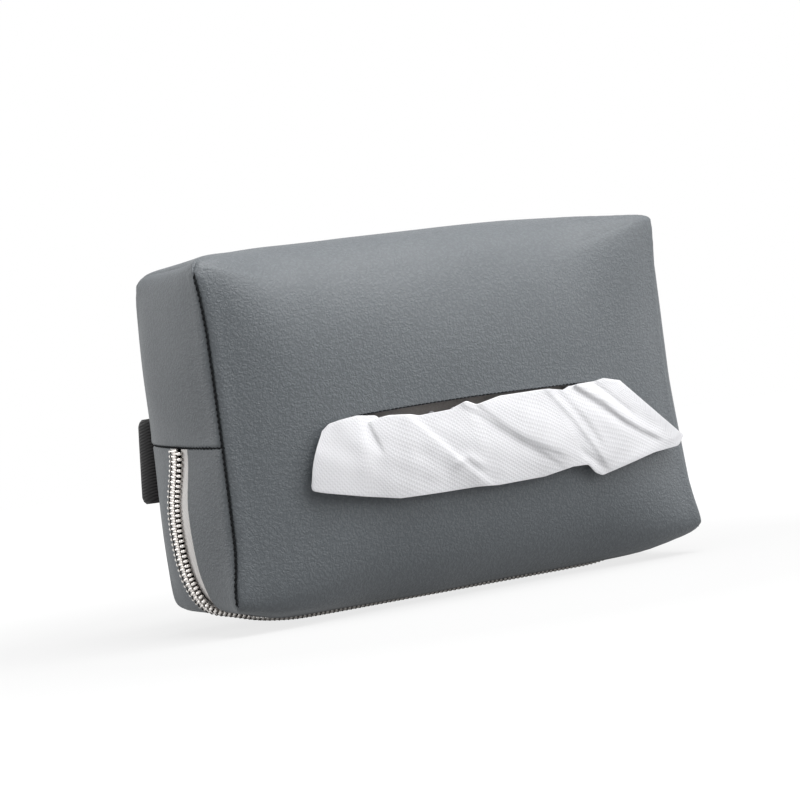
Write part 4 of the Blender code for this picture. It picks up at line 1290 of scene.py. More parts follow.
@dataclass
class PathRepeat:
    """Geometry Nodes that repeat a small piece along a path, turned to face out of the surface."""

    tree: Tree = field(init=False)

    def __post_init__(self) -> None:
        """Build the tree once."""
        tree = bpy.data.node_groups.new("repeat_along_path", "GeometryNodeTree")
        for label, kind in (("Path", "Geometry"), ("Shape", "Object"), ("Spacing", "Float"), ("Finish", "Material")):
            tree.interface.new_socket(label, in_out="INPUT", socket_type=f"NodeSocket{kind}")
        tree.interface.new_socket("Result", in_out="OUTPUT", socket_type="NodeSocketGeometry")
        given = add_node(tree, "NodeGroupInput")
        curve = add_node(tree, "GeometryNodeMeshToCurve", links={"Mesh": given.outputs["Path"]})
        even = add_node(tree, "GeometryNodeResampleCurve", {"mode": "LENGTH"},
                        {"Curve": curve.outputs[0], "Length": given.outputs["Spacing"]})
        along = add_node(tree, "GeometryNodeInputNamedAttribute", {"data_type": "FLOAT_VECTOR", "Name": "along"})
        out = add_node(tree, "GeometryNodeInputNamedAttribute", {"data_type": "FLOAT_VECTOR", "Name": "outward"})
        first = add_node(tree, "FunctionNodeAlignRotationToVector", {"axis": "Z"}, {"Vector": along.outputs[0]})
        second = add_node(tree, "FunctionNodeAlignRotationToVector", {"axis": "X", "pivot_axis": "Z"},
                          {"Rotation": first.outputs[0], "Vector": out.outputs[0]})
        shape = add_node(tree, "GeometryNodeObjectInfo", links={"Object": given.outputs["Shape"]})
        copies = add_node(tree, "GeometryNodeInstanceOnPoints", links={
            "Points": even.outputs[0], "Instance": shape.outputs["Geometry"], "Rotation": second.outputs[0]})
        real = add_node(tree, "GeometryNodeRealizeInstances", links={0: copies.outputs[0]})
        dressed = add_node(tree, "GeometryNodeSetMaterial", links={
            "Geometry": real.outputs[0], "Material": given.outputs["Finish"]})
        add_node(tree, "NodeGroupOutput", links={0: dressed.outputs[0]})
        self.tree = tree

    def run(self, name: str, path: Array, outward: Array, shape: tuple[Array, list[tuple[int, ...]]],
            spacing: float, finish: Material) -> Piece:
        """Repeat a shape along a path and bake the result.

        Args:
            name: name of the piece.
            path: points of the path.
            outward: direction out of the surface, one for all points or one each.
            shape: points and faces of the repeated shape, along Z, with X outwards.
            spacing: distance between two copies.
            finish: material of the copies.

        Returns:
            A plain mesh piece at the origin.
        """
        mesh = bpy.data.meshes.new(f"{name}_path")
        mesh.from_pydata([tuple(p) for p in path], [(i, i + 1) for i in range(len(path) - 1)], [])
        along = unit(np.gradient(path, axis=0))
        for label, vectors in (("along", along), ("outward", np.broadcast_to(outward, path.shape))):
            attribute = mesh.attributes.new(label, "FLOAT_VECTOR", "POINT")
            attribute.data.foreach_set("vector", np.ascontiguousarray(vectors, np.float32).ravel())
        carrier = linked(f"{name}_path", mesh)
        sample = mesh_piece(f"{name}_shape", shape[0], shape[1])
        sample.hide_render = True
        change = carrier.modifiers.new("repeat", "NODES")
        change.node_group = self.tree
        values = {"Shape": sample, "Spacing": spacing, "Finish": finish}
        for item in self.tree.interface.items_tree:
            if item.in_out == "INPUT" and item.name in values:
                change[item.identifier] = values[item.name]
        bpy.context.view_layer.update()
        seen = carrier.evaluated_get(bpy.context.evaluated_depsgraph_get())
        baked = bpy.data.meshes.new_from_object(seen)
        baked.name = name
        made = linked(name, baked)
        baked.shade_smooth()
        for spare in (carrier, sample):
            bpy.data.objects.remove(spare, do_unlink=True)
        return made


@dataclass
class Zip:
    """The zip: tapes behind the leather's edges, two interlocked coils and the threads that hold them."""

    shape: PouchShape
    finishes: Finishes
    centre: float = 0.3 * MM
    inner_edge: float = 0.9 * MM
    tape: float = 0.6 * MM
    pitch: float = 1.78 * MM
    half_width: float = 3.0 * MM
    straight: float = 96.3 * MM
    head_reach: float = 0.75 * MM
    proud: float = 0.75 * MM
    bulge: float = 1.15 * MM
    height: float = 1.9 * MM
    wire: float = 0.36 * MM
    top_gap: float = 1.2 * MM
    lean: float = 0.24
    slider_space: float = 6.2 * MM
    thread_side: float = 1.75 * MM
    thread: float = 0.2 * MM

    def route(self, side: float, inset: float, steps: int = 420) -> tuple[Array, Array]:
        """Path along the zip at a distance from its middle line.

        Args:
            side: distance from the middle line, to the back.
            inset: distance into the wall.
            steps: points on each stretch.

        Returns:
            The points, and the directions out of the surface.
        """
        shape = self.shape
        low = 2 * self.top_gap / shape.seam_height
        high = 2 * self.slider_space / shape.seam_height
        shares = [(-1.0, -w) for w in np.linspace(low, 1, steps)]
        shares += [(u, -1.0) for u in np.linspace(-1, 1, 3 * steps)][1:]
        shares += [(1.0, -w) for w in np.linspace(1, high, steps)][1:]
        u, w = np.array(shares).T
        points = shape.skin(u, 0.0, w, inset)
        length = run_length(points)
        even = np.linspace(0, length[-1], 700)
        points = read_along(even, length, points)
        for _ in range(6):
            points[1:-1] = (points[:-2] + 2 * points[1:-1] + points[2:]) / 4
        along = unit(np.gradient(points, axis=0))
        out = unit(np.cross(np.array([0.0, 1.0, 0.0]), along))
        points[:, 1] += side * np.clip(0.5 - points[:, 0] / (60 * MM), 0, 1)
        return points, out * self.outward_sign(points, out)

    @staticmethod
    def on_left(points: Array) -> Array:
        """Share of the bulge: all of it up the left end, none along the bottom."""
        return ease(points[..., 2] / (18 * MM) - 0.1) * (points[..., 0] < 0)

    @staticmethod
    def outward_sign(points: Array, out: Array) -> float:
        """1 or -1, so that the directions point away from the pouch's middle."""
        middle = points.mean(axis=0) + np.array([0, 0, 0.03])
        return 1.0 if float(np.sum((points - middle) * out)) > 0 else -1.0

    def turn(self) -> tuple[Array, list[tuple[int, ...]]]:
        """One turn of a coil: a flattened wire ring, wider at its bends, its head towards -Y.

        Returns:
            Points and faces; X is out of the surface and Z along the zip.
        """
        reach, back, tall = self.head_reach, self.half_width, self.height
        radius = tall / 2 - self.wire * 0.9
        middle_x = -tall / 2
        outline = []
        for angle in np.linspace(-90, 90, 5):
            outline.append((middle_x + radius * math.sin(math.radians(angle)),
                            back - radius + radius * math.cos(math.radians(angle)), 1.3))
        outline.append((middle_x + radius * 0.97, (back - reach) / 2 + reach * 0.3, 0.88))
        for angle in np.linspace(90, 270, 5):
            outline.append((middle_x + radius * math.sin(math.radians(angle)),
                            -reach + radius + radius * math.cos(math.radians(angle)), 1.25))
        outline.append((middle_x - radius * 0.97, (back - reach) / 2, 0.8))
        count, sides = len(outline), 6
        points = []
        for i, (x, y, size) in enumerate(outline):
            before, after = np.array(outline[i - 1][:2]), np.array(outline[(i + 1) % count][:2])
            along = (after - before) / np.linalg.norm(after - before)
            normal = np.array([along[1], -along[0]])
            for k in range(sides):
                angle = 2 * math.pi * k / sides
                step = self.wire * size * math.cos(angle)
                points.append((x + normal[0] * step, y + normal[1] * step, self.wire * size * 1.25 * math.sin(angle)))
        faces = []
        for i in range(count):
            for k in range(sides):
                n, m = (k + 1) % sides, (i + 1) % count
                faces.append((i * sides + k, m * sides + k, m * sides + n, i * sides + n))
        return np.array(points), faces

    def build(self) -> list[Piece]:
        """Make the tapes, the coils and their threads.

        Returns:
            All pieces of the zip.
        """
        repeat = PathRepeat()
        pieces = []
        points, out = self.route(self.centre, 0.0)
        points = points + out * (self.proud + self.bulge * self.on_left(points))[:, None]
        points[:, 2] = np.maximum(points[:, 2], 0.2 * MM)
        points[:, 0] = np.minimum(points[:, 0], self.straight)
        out = out + np.array([0.0, -self.lean, 0.0]) * self.on_left(points)[:, None]
        out /= np.linalg.norm(out, axis=1, keepdims=True)
        spots = run_length(points)
        count = int(spots[-1] // self.pitch) - 1
        turn, faces = self.turn()
        for side in Side:
            start = 0.0 if side is Side.BACK else self.pitch / 2
            marks = np.linspace(start, start + count * self.pitch, 1400)
            path = read_along(marks, spots, points)
            outward = read_along(marks, spots, out)
            shape = turn.copy()
            label = side.name.lower()
            along = np.gradient(path, axis=0)
            turned = np.cross(along[0], outward[0])
            flip = 1.0 if turned[1] * side.value > 0 else -1.0
            shape[:, 1] *= flip
            coil = repeat.run(f"zip_coil_{label}", path, outward, (shape, faces), self.pitch, self.finishes.coil)
            outward_faces(coil)
            pieces.append(place(coil, self.finishes.coil, Body.POUCH, "zip_teeth", f"zipper_teeth_{label}"))
            pieces.append(self.hold_thread(label, path, outward, side))
            pieces.append(self.make_tape(label, side))
        return pieces

    def hold_thread(self, label: str, path: Array, outward: Array, side: Side) -> Piece:
        """The lock-stitch thread that holds a coil to its tape, dipping between the turns.

        Args:
            label: front or back.
            path: the coil's line.
            outward: directions out of the surface.
            side: side of the zip.

        Returns:
            The thread.
        """
        length = run_length(path)
        dip = -0.17 * MM + 0.2 * MM * np.cos(2 * math.pi * length / self.pitch)
        across = np.cross(np.gradient(path, axis=0), outward)
        across *= (np.sign(across[:, 1]) / np.linalg.norm(across, axis=1))[:, None]
        line = path + outward * dip[:, None] + across * side.value * self.thread_side
        line[:, 2] = np.maximum(line[:, 2], 0.26 * MM)
        thread = tube(f"zip_thread_{label}", line, self.thread, 4)
        return place(thread, self.finishes.chain_thread, Body.POUCH, "zip_tape")

    def make_tape(self, label: str, side: Side) -> Piece:
        """A woven tape from the left end, along the bottom and up the right end.

        Args:
            label: front or back.
            side: side of the zip.

        Returns:
            The tape.
        """
        inset = self.shape.leather + self.shape.gap + self.tape / 2
        widths = np.array([self.inner_edge, 2.0 * MM, 3.4 * MM, 4.8 * MM, 6.0 * MM, 7.2 * MM, 8.4 * MM, 10.6 * MM,
                           12.6 * MM])
        lifts = np.array([1.0, 1.0, 1.0, 1.0, 0.95, 0.85, 0.7, 0.3, 0.0])
        grid = np.stack([self.surface_line(side.value * 2 * width / self.shape.seam_depth, inset) for width in widths],
                        axis=1)
        rise = 1.45 * MM + side.value * 0.5 * MM
        grid[:, :, 0] -= rise * lifts[None, :] * self.on_left(grid)
        grid[:, :, 0] = np.minimum(grid[:, :, 0], self.straight - self.height - 0.1 * MM)
        length = run_length(grid[:, 0])
        uv = pattern_map(length, widths)
        tape = thin_solid(f"zip_tape_{label}", grid, self.tape, uv)
        return place(tape, self.finishes.tape, Body.POUCH, "zip_tape", f"zipper_tape_{label}")

    def surface_line(self, v: float, inset: float, steps: int = 60) -> Array:
        """A line on the skin at one share of the depth, along the whole zip.

        Args:
            v: depth share.
            inset: distance into the wall.
            steps: points on each stretch.

        Returns:
            Points of the line.
        """
        shape = self.shape
        low = 2 * 0.6 * MM / shape.seam_height
        shares = [(-1.0, -w) for w in np.linspace(low, 1, steps)]
        shares += [(u, -1.0) for u in np.linspace(-1, 1, 2 * steps)][1:]
        shares += [(1.0, -w) for w in np.linspace(1, low, steps)][1:]
        u, w = np.array(shares).T
        return shape.skin(u, v, w, inset)


@dataclass
class SlotFacing:
    """The felted strip behind the slot: a frame round it, and a soft lip that hangs behind its upper edge."""

    shape: PouchShape
    slot: Slot
    finishes: Finishes
    thickness: float = 0.7 * MM
    margins: tuple[float, float] = (14 * MM, 12 * MM)

    def build(self) -> list[Piece]:
        """Make the facing.

        Returns:
            The upper and the lower strip.
        """
        shape, slot = self.shape, self.slot
        xs = np.linspace(slot.left - self.margins[0], slot.right + self.margins[1], 90)
        upper, lower = [], []
        inset = shape.leather + shape.gap + self.thickness / 2
        for drop, back in ((14, 0), (10, 0), (6, 0), (3, 0), (1, 0.5), (-1, 1.2), (-3, 2.2), (-5, 3.6), (-6.5, 5.0)):
            z = slot.end_height / 2 + drop * MM + slot.lift * slot.hump(xs)
            upper.append(shape.front_point(xs, z, inset) + np.array([0.0, back * MM, 0.0]))
        for drop in (0.4, 2.0, 5.0, 8.0, 11.0):
            z = slot.part(xs, np.full_like(xs, -slot.end_height / 2 - drop * MM))
            lower.append(shape.front_point(xs, z, inset))
        return [place(thin_solid(f"slot_facing_{name}", np.stack(rows), self.thickness), self.finishes.facing,
                      Body.POUCH, "facing", "slot_facing") for name, rows in (("upper", upper), ("lower", lower))]


@dataclass
class SeamBindings:
    """Bound seam allowances inside the corners and the ends."""

    shape: PouchShape
    finishes: Finishes
    thick: float = 1.6 * MM
    deep: float = 5.6 * MM
    level_deep: float = 5.0 * MM

    def build(self) -> list[Piece]:
        """Make the six bindings.

        Returns:
            The bindings.
        """
        shape, pieces = self.shape, []
        ws = np.linspace(-0.72, 0.72, 50)
        vs = np.linspace(-0.55, 0.55, 30)
        inset = shape.leather + shape.gap
        for side_v, depth in DEPTHS:
            for side_u, end in ENDS:
                corner = shape.skin(side_u, side_v, ws, inset + 0.9 * MM)
                inwards = np.array([-side_u, -side_v, 0.0]) / math.sqrt(2)
                pieces.append(self.bind(f"corner_binding_{depth}_{end}", f"binding_{depth}_{end}", corner, inwards,
                                        (0.4 * MM, self.deep), ws * 0.061))
        for side_u, end in ENDS:
            pieces.append(self.bind(f"level_binding_{end}", f"binding_end_{end}", shape.skin(side_u, vs, 0.0, inset),
                                    np.array([-side_u, 0.0, 0.0]), (0.2 * MM, self.level_deep), vs * 0.031))
        return pieces

    def bind(self, name: str, node: str, seat: Array, inwards: Array, span: tuple[float, float],
             along: Array) -> Piece:
        """One binding.

        Args:
            name: name of the piece.
            node: node that it replaces.
            seat: the seam's line inside the leather.
            inwards: direction into the pouch.
            span: where the binding starts and ends on that direction.
            along: pattern coordinates along the seam.

        Returns:
            The binding.
        """
        grid = np.stack([seat + inwards * reach for reach in np.linspace(*span, 6)], axis=1)
        uv = pattern_map(along, np.linspace(0, span[1], 6))
        piece = thin_solid(name, grid, self.thick, uv, rounded=True)
        return place(piece, self.finishes.binding, Body.POUCH, "binding", node)


@dataclass
class Refill:
    """The refill: interleaved folded tissues whose folds show at both ends."""

    shape: PouchShape
    finishes: Finishes
    inset: float = 2.65 * MM
    front: float = 12 * MM
    top: float = 50 * MM
    length_share: float = 0.9
    leaves: int = 22
    groove: float = 1.1 * MM

    def build(self) -> list[Piece]:
        """Make the refill as one closed stack of leaves.

        Returns:
            The refill.
        """
        shape = self.shape
        ws = np.concatenate([[-1, -0.985, -0.96], np.linspace(-0.92, 0.92, 24), [0.96, 1.0]])
        along = np.linspace(-1, 1, 25)
        leaf = np.linspace(-1, 1, 2 * self.leaves + 1)
        ring = [(u, 1.0, 0) for u in along] + [(1.0, v, k) for k, v in enumerate(leaf[::-1])][1:-1]
        ring += [(u, -1.0, 0) for u in along[::-1]] + [(-1.0, v, k) for k, v in enumerate(leaf)][1:-1]
        rows = []
        for w in ws:
            row = []
            for u, v, k in ring:
                behind = 0.36 if w == -1 else 1.0
                shell = shape.skin(u, behind, w, self.inset) + np.array([shape.shift_x, shape.shift_y, 0])
                front = -min(self.front, shell[1])
                y = front + (v + 1) / 2 * (shell[1] - front)
                cut = self.groove if k % 2 == 0 and abs(v) < 1 else 0.0
                x = shell[0] * self.length_share - u * cut
                z = min(shell[2], shape.middle + self.top)
                row.append((x - shape.shift_x, y - shape.shift_y, max(z, 9.5 * MM)))
            rows.append(row)
        points = np.array(rows)
        faces = ring_faces(*points.shape[:2])
        uv = np.stack([points[..., 0], points[..., 2]], axis=-1).reshape(-1, 2)
        stack = outward_faces(mesh_piece("tissue_refill", points.reshape(-1, 3), faces, uv, 60))
        return [place(stack, self.finishes.tissue, Body.POUCH, "tissue", "tissue_stack")]


@dataclass(frozen=True)
class Fold:
    """A fold line on the tissue: its points (x, z in mm), height, width and how steep its lower side is."""

    line: tuple[tuple[float, float], ...]
    height: float
    width: float
    steep: float = 1.0


@dataclass
class TissueSheet:
    """The tissue: gathered in the slot, spread over the front in slanting folds, and drawn from the refill."""

    shape: PouchShape
    slot: Slot
    finishes: Finishes
    columns: int = 320
    thickness: float = 0.28 * MM
    under_share: float = 0.87
    calm: float = 0.28
    pleats: int = 13
    plane_y: float = -42.0
    eye: tuple[float, float] = (-370.9, -709.05)
    crest: tuple[tuple[float, float, float], ...] = (
        (0.00, -60.0, -2.0), (0.03, -57.3, 0.0), (0.08, -53.0, 0.8), (0.125, -45.6, 1.6), (0.15, -43.4, -1.6),
        (0.19, -37.5, -0.1), (0.25, -28.2, -0.8), (0.29, -25.5, -1.7), (0.38, -11.4, -1.2), (0.44, -4.3, 1.0),
        (0.475, -0.4, -0.8), (0.55, 10.2, 1.1), (0.69, 26.7, 1.2), (0.725, 31.0, 1.1), (0.77, 37.0, -0.1),
        (0.81, 41.3, 1.6), (0.87, 48.5, 1.7), (0.92, 52.9, 2.4), (1.00, 59.6, 0.7))
    hem: tuple[tuple[float, float, float], ...] = (
        (0.00, -66.6, -19.4), (0.012, -66.6, -21.2), (0.03, -62.5, -22.4), (0.12, -48.1, -25.6), (0.21, -34.4, -28.2),
        (0.31, -18.2, -28.5), (0.41, -3.9, -28.5), (0.46, 4.0, -29.1), (0.58, 22.8, -28.8), (0.66, 35.2, -26.9),
        (0.705, 41.5, -27.1), (0.73, 43.9, -30.3), (0.76, 46.6, -31.7), (0.81, 53.7, -30.2), (0.91, 69.8, -26.6),
        (0.98, 80.7, -25.6), (1.00, 83.2, -22.2))
    folds: tuple[Fold, ...] = (
        Fold(((-53, -1), (-47, -8), (-45, -14)), 1.2, 4.0),
        Fold(((-43.6, 0.5), (-42.2, -4), (-40.4, -8.5)), -2.0, 1.5, 0.6),
        Fold(((-33, -2), (-27, -10), (-20, -19)), 0.9, 5.0),
        Fold(((-27, -2.0), (-15.2, -13.5), (-9.0, -20.0), (-1.0, -27.3)), 2.1, 2.6, 0.5),
        Fold(((-24, -14), (-15, -22), (-8, -26)), -0.9, 3.5),
        Fold(((-4.6, 0.4), (1.6, -3.4), (11, -10.6), (21.6, -17.8), (30, -24)), 1.9, 2.6, 2.0),
        Fold(((0.6, -2.0), (8, -8.8), (15.6, -14.6), (23, -19.0), (29, -22)), -1.4, 1.8, 0.6),
        Fold(((14, -1), (22, -9), (31, -18)), 1.9, 7.5),
        Fold(((30.2, 0.2), (38.6, -10.0), (44.0, -18.4), (48, -25)), 2.0, 2.6, 1.8),
        Fold(((33.6, -1.2), (42.2, -11.9), (46, -18)), -1.7, 2.2, 0.7),
        Fold(((41.2, 1.4), (51.6, -5.6), (59, -12.4), (65.8, -17.6), (71.5, -20.5)), 2.4, 1.8, 1.6),
        Fold(((41.5, -1.2), (50.8, -8.4), (58.8, -14.4), (68.5, -20.0)), -1.3, 1.3, 0.7),
        Fold(((48.0, 1.4), (53.5, -3.2), (60.5, -9.5)), -1.2, 1.0),
        Fold(((60, -3), (70, -12), (79, -20)), 1.2, 4.0),
        Fold(((41.6, -24.0), (44.5, -26.5), (47.5, -29.5)), -1.5, 1.5),
        Fold(((58, -28.6), (70, -25.2), (80, -22.4)), 1.3, 2.0),
        Fold(((-8.5, -18.8), (-6.0, -17.8), (-3.0, -20.0)), 1.4, 1.5),
    )

    @staticmethod
    def to_line(x: Array, z: Array, line: Sequence[tuple[float, float]]) -> tuple[Array, Array]:
        """Signed distance to a polyline, positive above and right of it, and how far past its ends a point lies.

        Args:
            x, z: points in mm.
            line: points of the polyline.

        Returns:
            The signed distances, and those past the ends.
        """
        best = np.full(x.shape, 1e9)
        signed = np.zeros_like(x)
        past = np.zeros_like(x)
        for k, ((x0, z0), (x1, z1)) in enumerate(zip(line[:-1], line[1:])):
            dx, dz = x1 - x0, z1 - z0
            size = math.hypot(dx, dz)
            t = ((x - x0) * dx + (z - z0) * dz) / size ** 2
            held = np.clip(t, 0, 1)
            gap = np.hypot(x - x0 - held * dx, z - z0 - held * dz)
            side = ((z - z0) * dx - (x - x0) * dz) / size
            over = np.where(t < 0, -t * size if k == 0 else 0.0, 0.0)
            over = np.where(t > 1, (t - 1) * size if k == len(line) - 2 else 0.0, over)
            nearer = gap < best
            best = np.where(nearer, gap, best)
            signed = np.where(nearer, side, signed)
            past = np.where(nearer, over, past)
        return signed, past

    def relief(self, x: Array, z: Array) -> Array:
        """Height of the folds at x and z, in mm in front of the smooth sheet.

        Args:
            x, z: points in mm.

        Returns:
            The heights.
        """
        total = np.zeros_like(x)
        for fold in self.folds:
            side, past = self.to_line(x, z, fold.line)
            width = np.where(side > 0, fold.width * fold.steep, fold.width / max(fold.steep, 0.4))
            total = total + fold.height * np.exp(-(side / width) ** 2) * np.exp(-(past / 3.5) ** 2)
        ripple = 0.22 * np.sin(x / 1.9 + z / 3.1) * np.sin(z / 2.3 - x / 5.7 + 1.1)
        return total + ripple + 0.25 * np.sin(x / 4.3 + z / 2.9 + 0.5)

    def slide(self, x: Array, y: Array) -> Array:
        """X of a point of the measured plane, moved along the photograph's line of sight to depth y."""
        return x + (y - self.plane_y) * (x - self.eye[0]) / (self.plane_y - self.eye[1])

    def table(self, rows: tuple[tuple[float, float, float], ...], s: Array) -> tuple[Array, Array]:
        """Smoothly read a table of (share, x, z).

        Args:
            rows: share, x and z in mm.
            s: shares across the sheet.

        Returns:
            X and z in mm.
        """
        data = np.array(rows)
        kernel = np.array([1, 2, 3, 2, 1]) / 9
        out = []
        for k in (1, 2):
            value = np.interp(s, data[:, 0], data[:, k])
            padded = np.concatenate([2 * value[0] - value[2:0:-1], value, 2 * value[-1] - value[-2:-4:-1]])
            out.append(np.convolve(padded, kernel, "valid"))
        return out[0], out[1]

    def stations(self, s: Array) -> tuple[Array, list[int]]:
        """Stations down the sheet, from its hem over the lip to its hidden end, in mm from the pouch's middle.

        Args:
            s: shares across the sheet.

        Returns:
            Stations by columns of points, and the pieces between two stations.
        """
        crest_x, crest_z = self.table(self.crest, s)
        hem_x, hem_z = self.table(self.hem, s)
        rows, steps = [], []

        def add(x: Any, y: Any, z: Any, pieces: int) -> None:
            """Add a station and the number of pieces up to the next."""
            rows.append(np.stack(np.broadcast_arrays(x, y, z), axis=-1))
            steps.append(pieces)

        for share in (1.0, 0.75, 0.5, 0.3, 0.15, 0.05):
            t = share * self.under_share
            x = hem_x + (crest_x - hem_x) * t
            z = hem_z + (crest_z - hem_z) * t
            behind = np.minimum(self.front_y(x, z, s, t) + 0.65 + 1.5 * share, self.leather_y(x, z) - 0.6)
            add(self.slide(x, behind), behind, z, 2)
        for t in np.linspace(0, 1, 44):
            x = hem_x + (crest_x - hem_x) * t
            z = hem_z + (crest_z - hem_z) * t
            x = x - 1.0 * math.sin(math.pi * t) * np.exp(-s / 0.03)
            y = self.front_y(x, z, s, t)
            add(self.slide(x, y), y, z, 1)
        half = np.interp(s, (0, 0.08, 0.92, 1), (-44.2, -42.4, 52.0, 54.0))
        lip_low, lip_high = (self.slot.part(half * MM, np.full_like(half, sign * self.slot.end_height / 2)) / MM
                             for sign in (-1, 1))
        z = np.clip(crest_z - 1.0, lip_low + 0.8, lip_high - 1.0)
        face = self.leather_y(half, z)
        top = rows[-1]
        add((top[:, 0] + half) / 2, top[:, 1] + 0.5 * (face - top[:, 1]),
            top[:, 2] + np.minimum(0.25, lip_high - 0.6 - crest_z), 3)
        add(half, face + 0.4, z, 3)
        pleat = np.sin(2 * math.pi * self.pleats * s)
        room = np.clip((lip_high - lip_low) / 2 - 1.7, 0.3, 4.2)
        middle = (lip_high + lip_low) / 2
        for y, pieces in ((face + 6, 4), (-24.0, 4), (-16.0, 3)):
            add(half, y, middle + room * pleat, pieces)
        add(half, -13.4, middle - 0.6 + 0.7 * room * pleat, 2)
        inner = np.interp(s, (0, 1), (-51, 55))
        fine = np.sin(2 * math.pi * 4 * self.pleats * s)
        add(inner, -13.0 + 0.3 * fine, -11.5 + 1.0 * pleat, 3)
        for y, swing, z in ((-13.6, 1.1, -20.0), (-13.5, 1.1, -28.0), (-13.4, 1.0, -36.0)):
            add(inner, y + swing * fine, z, 3)
        return np.array(rows), steps[:len(rows) - 1]

    def front_y(self, x: Array, z: Array, s: Array, t: float) -> Array:
        """Depth of the sheet's seen face, t from its hem to its crest.

        Args:
            x, z: points in mm.
            s: shares across the sheet.
            t: share from hem to crest.

        Returns:
            The depths in mm.
        """
        belly = 2.6 + 1.6 * (1 - t) ** 1.2 + 0.9 * math.sin(math.pi * t) + 0.35 * np.sin(31 * s) * (1 - t) ** 2
        relief = np.clip(self.calm * self.relief(x, z), -1.3, 3.0) * min(1.0, 0.4 + 4 * t)
        return self.leather_y(x, z) - np.maximum(belly + relief, 1.9)

    def leather_y(self, x: Array, z: Array) -> Array:
        """Depth of the leather's face in mm, at x and z in mm from the pouch's middle."""
        shape = self.shape
        return (shape.front_point(x * MM, z * MM)[..., 1] + shape.shift_y) / MM

    def build(self) -> list[Piece]:
        """Make the sheet.

        Returns:
            The sheet.
        """
        shape = self.shape
        s = np.linspace(0, 1, self.columns)
        stations, steps = self.stations(s)
        grid = spline(stations, steps) * MM
        grid += np.array([-shape.shift_x, -shape.shift_y, shape.middle])
        span = np.concatenate([np.zeros((1, self.columns)),
                               np.cumsum(np.linalg.norm(np.diff(grid, axis=0), axis=2), axis=0)])
        across = np.concatenate([np.zeros((grid.shape[0], 1)),
                                 np.cumsum(np.linalg.norm(np.diff(grid, axis=1), axis=2), axis=1)], axis=1)
        uv = np.stack([across, span], axis=-1)
        piece = thin_solid("drawn_tissue", grid, self.thickness, uv)
        place(piece, self.finishes.tissue, Body.TISSUE, "tissue", "tissue_sheet")
        return [piece]


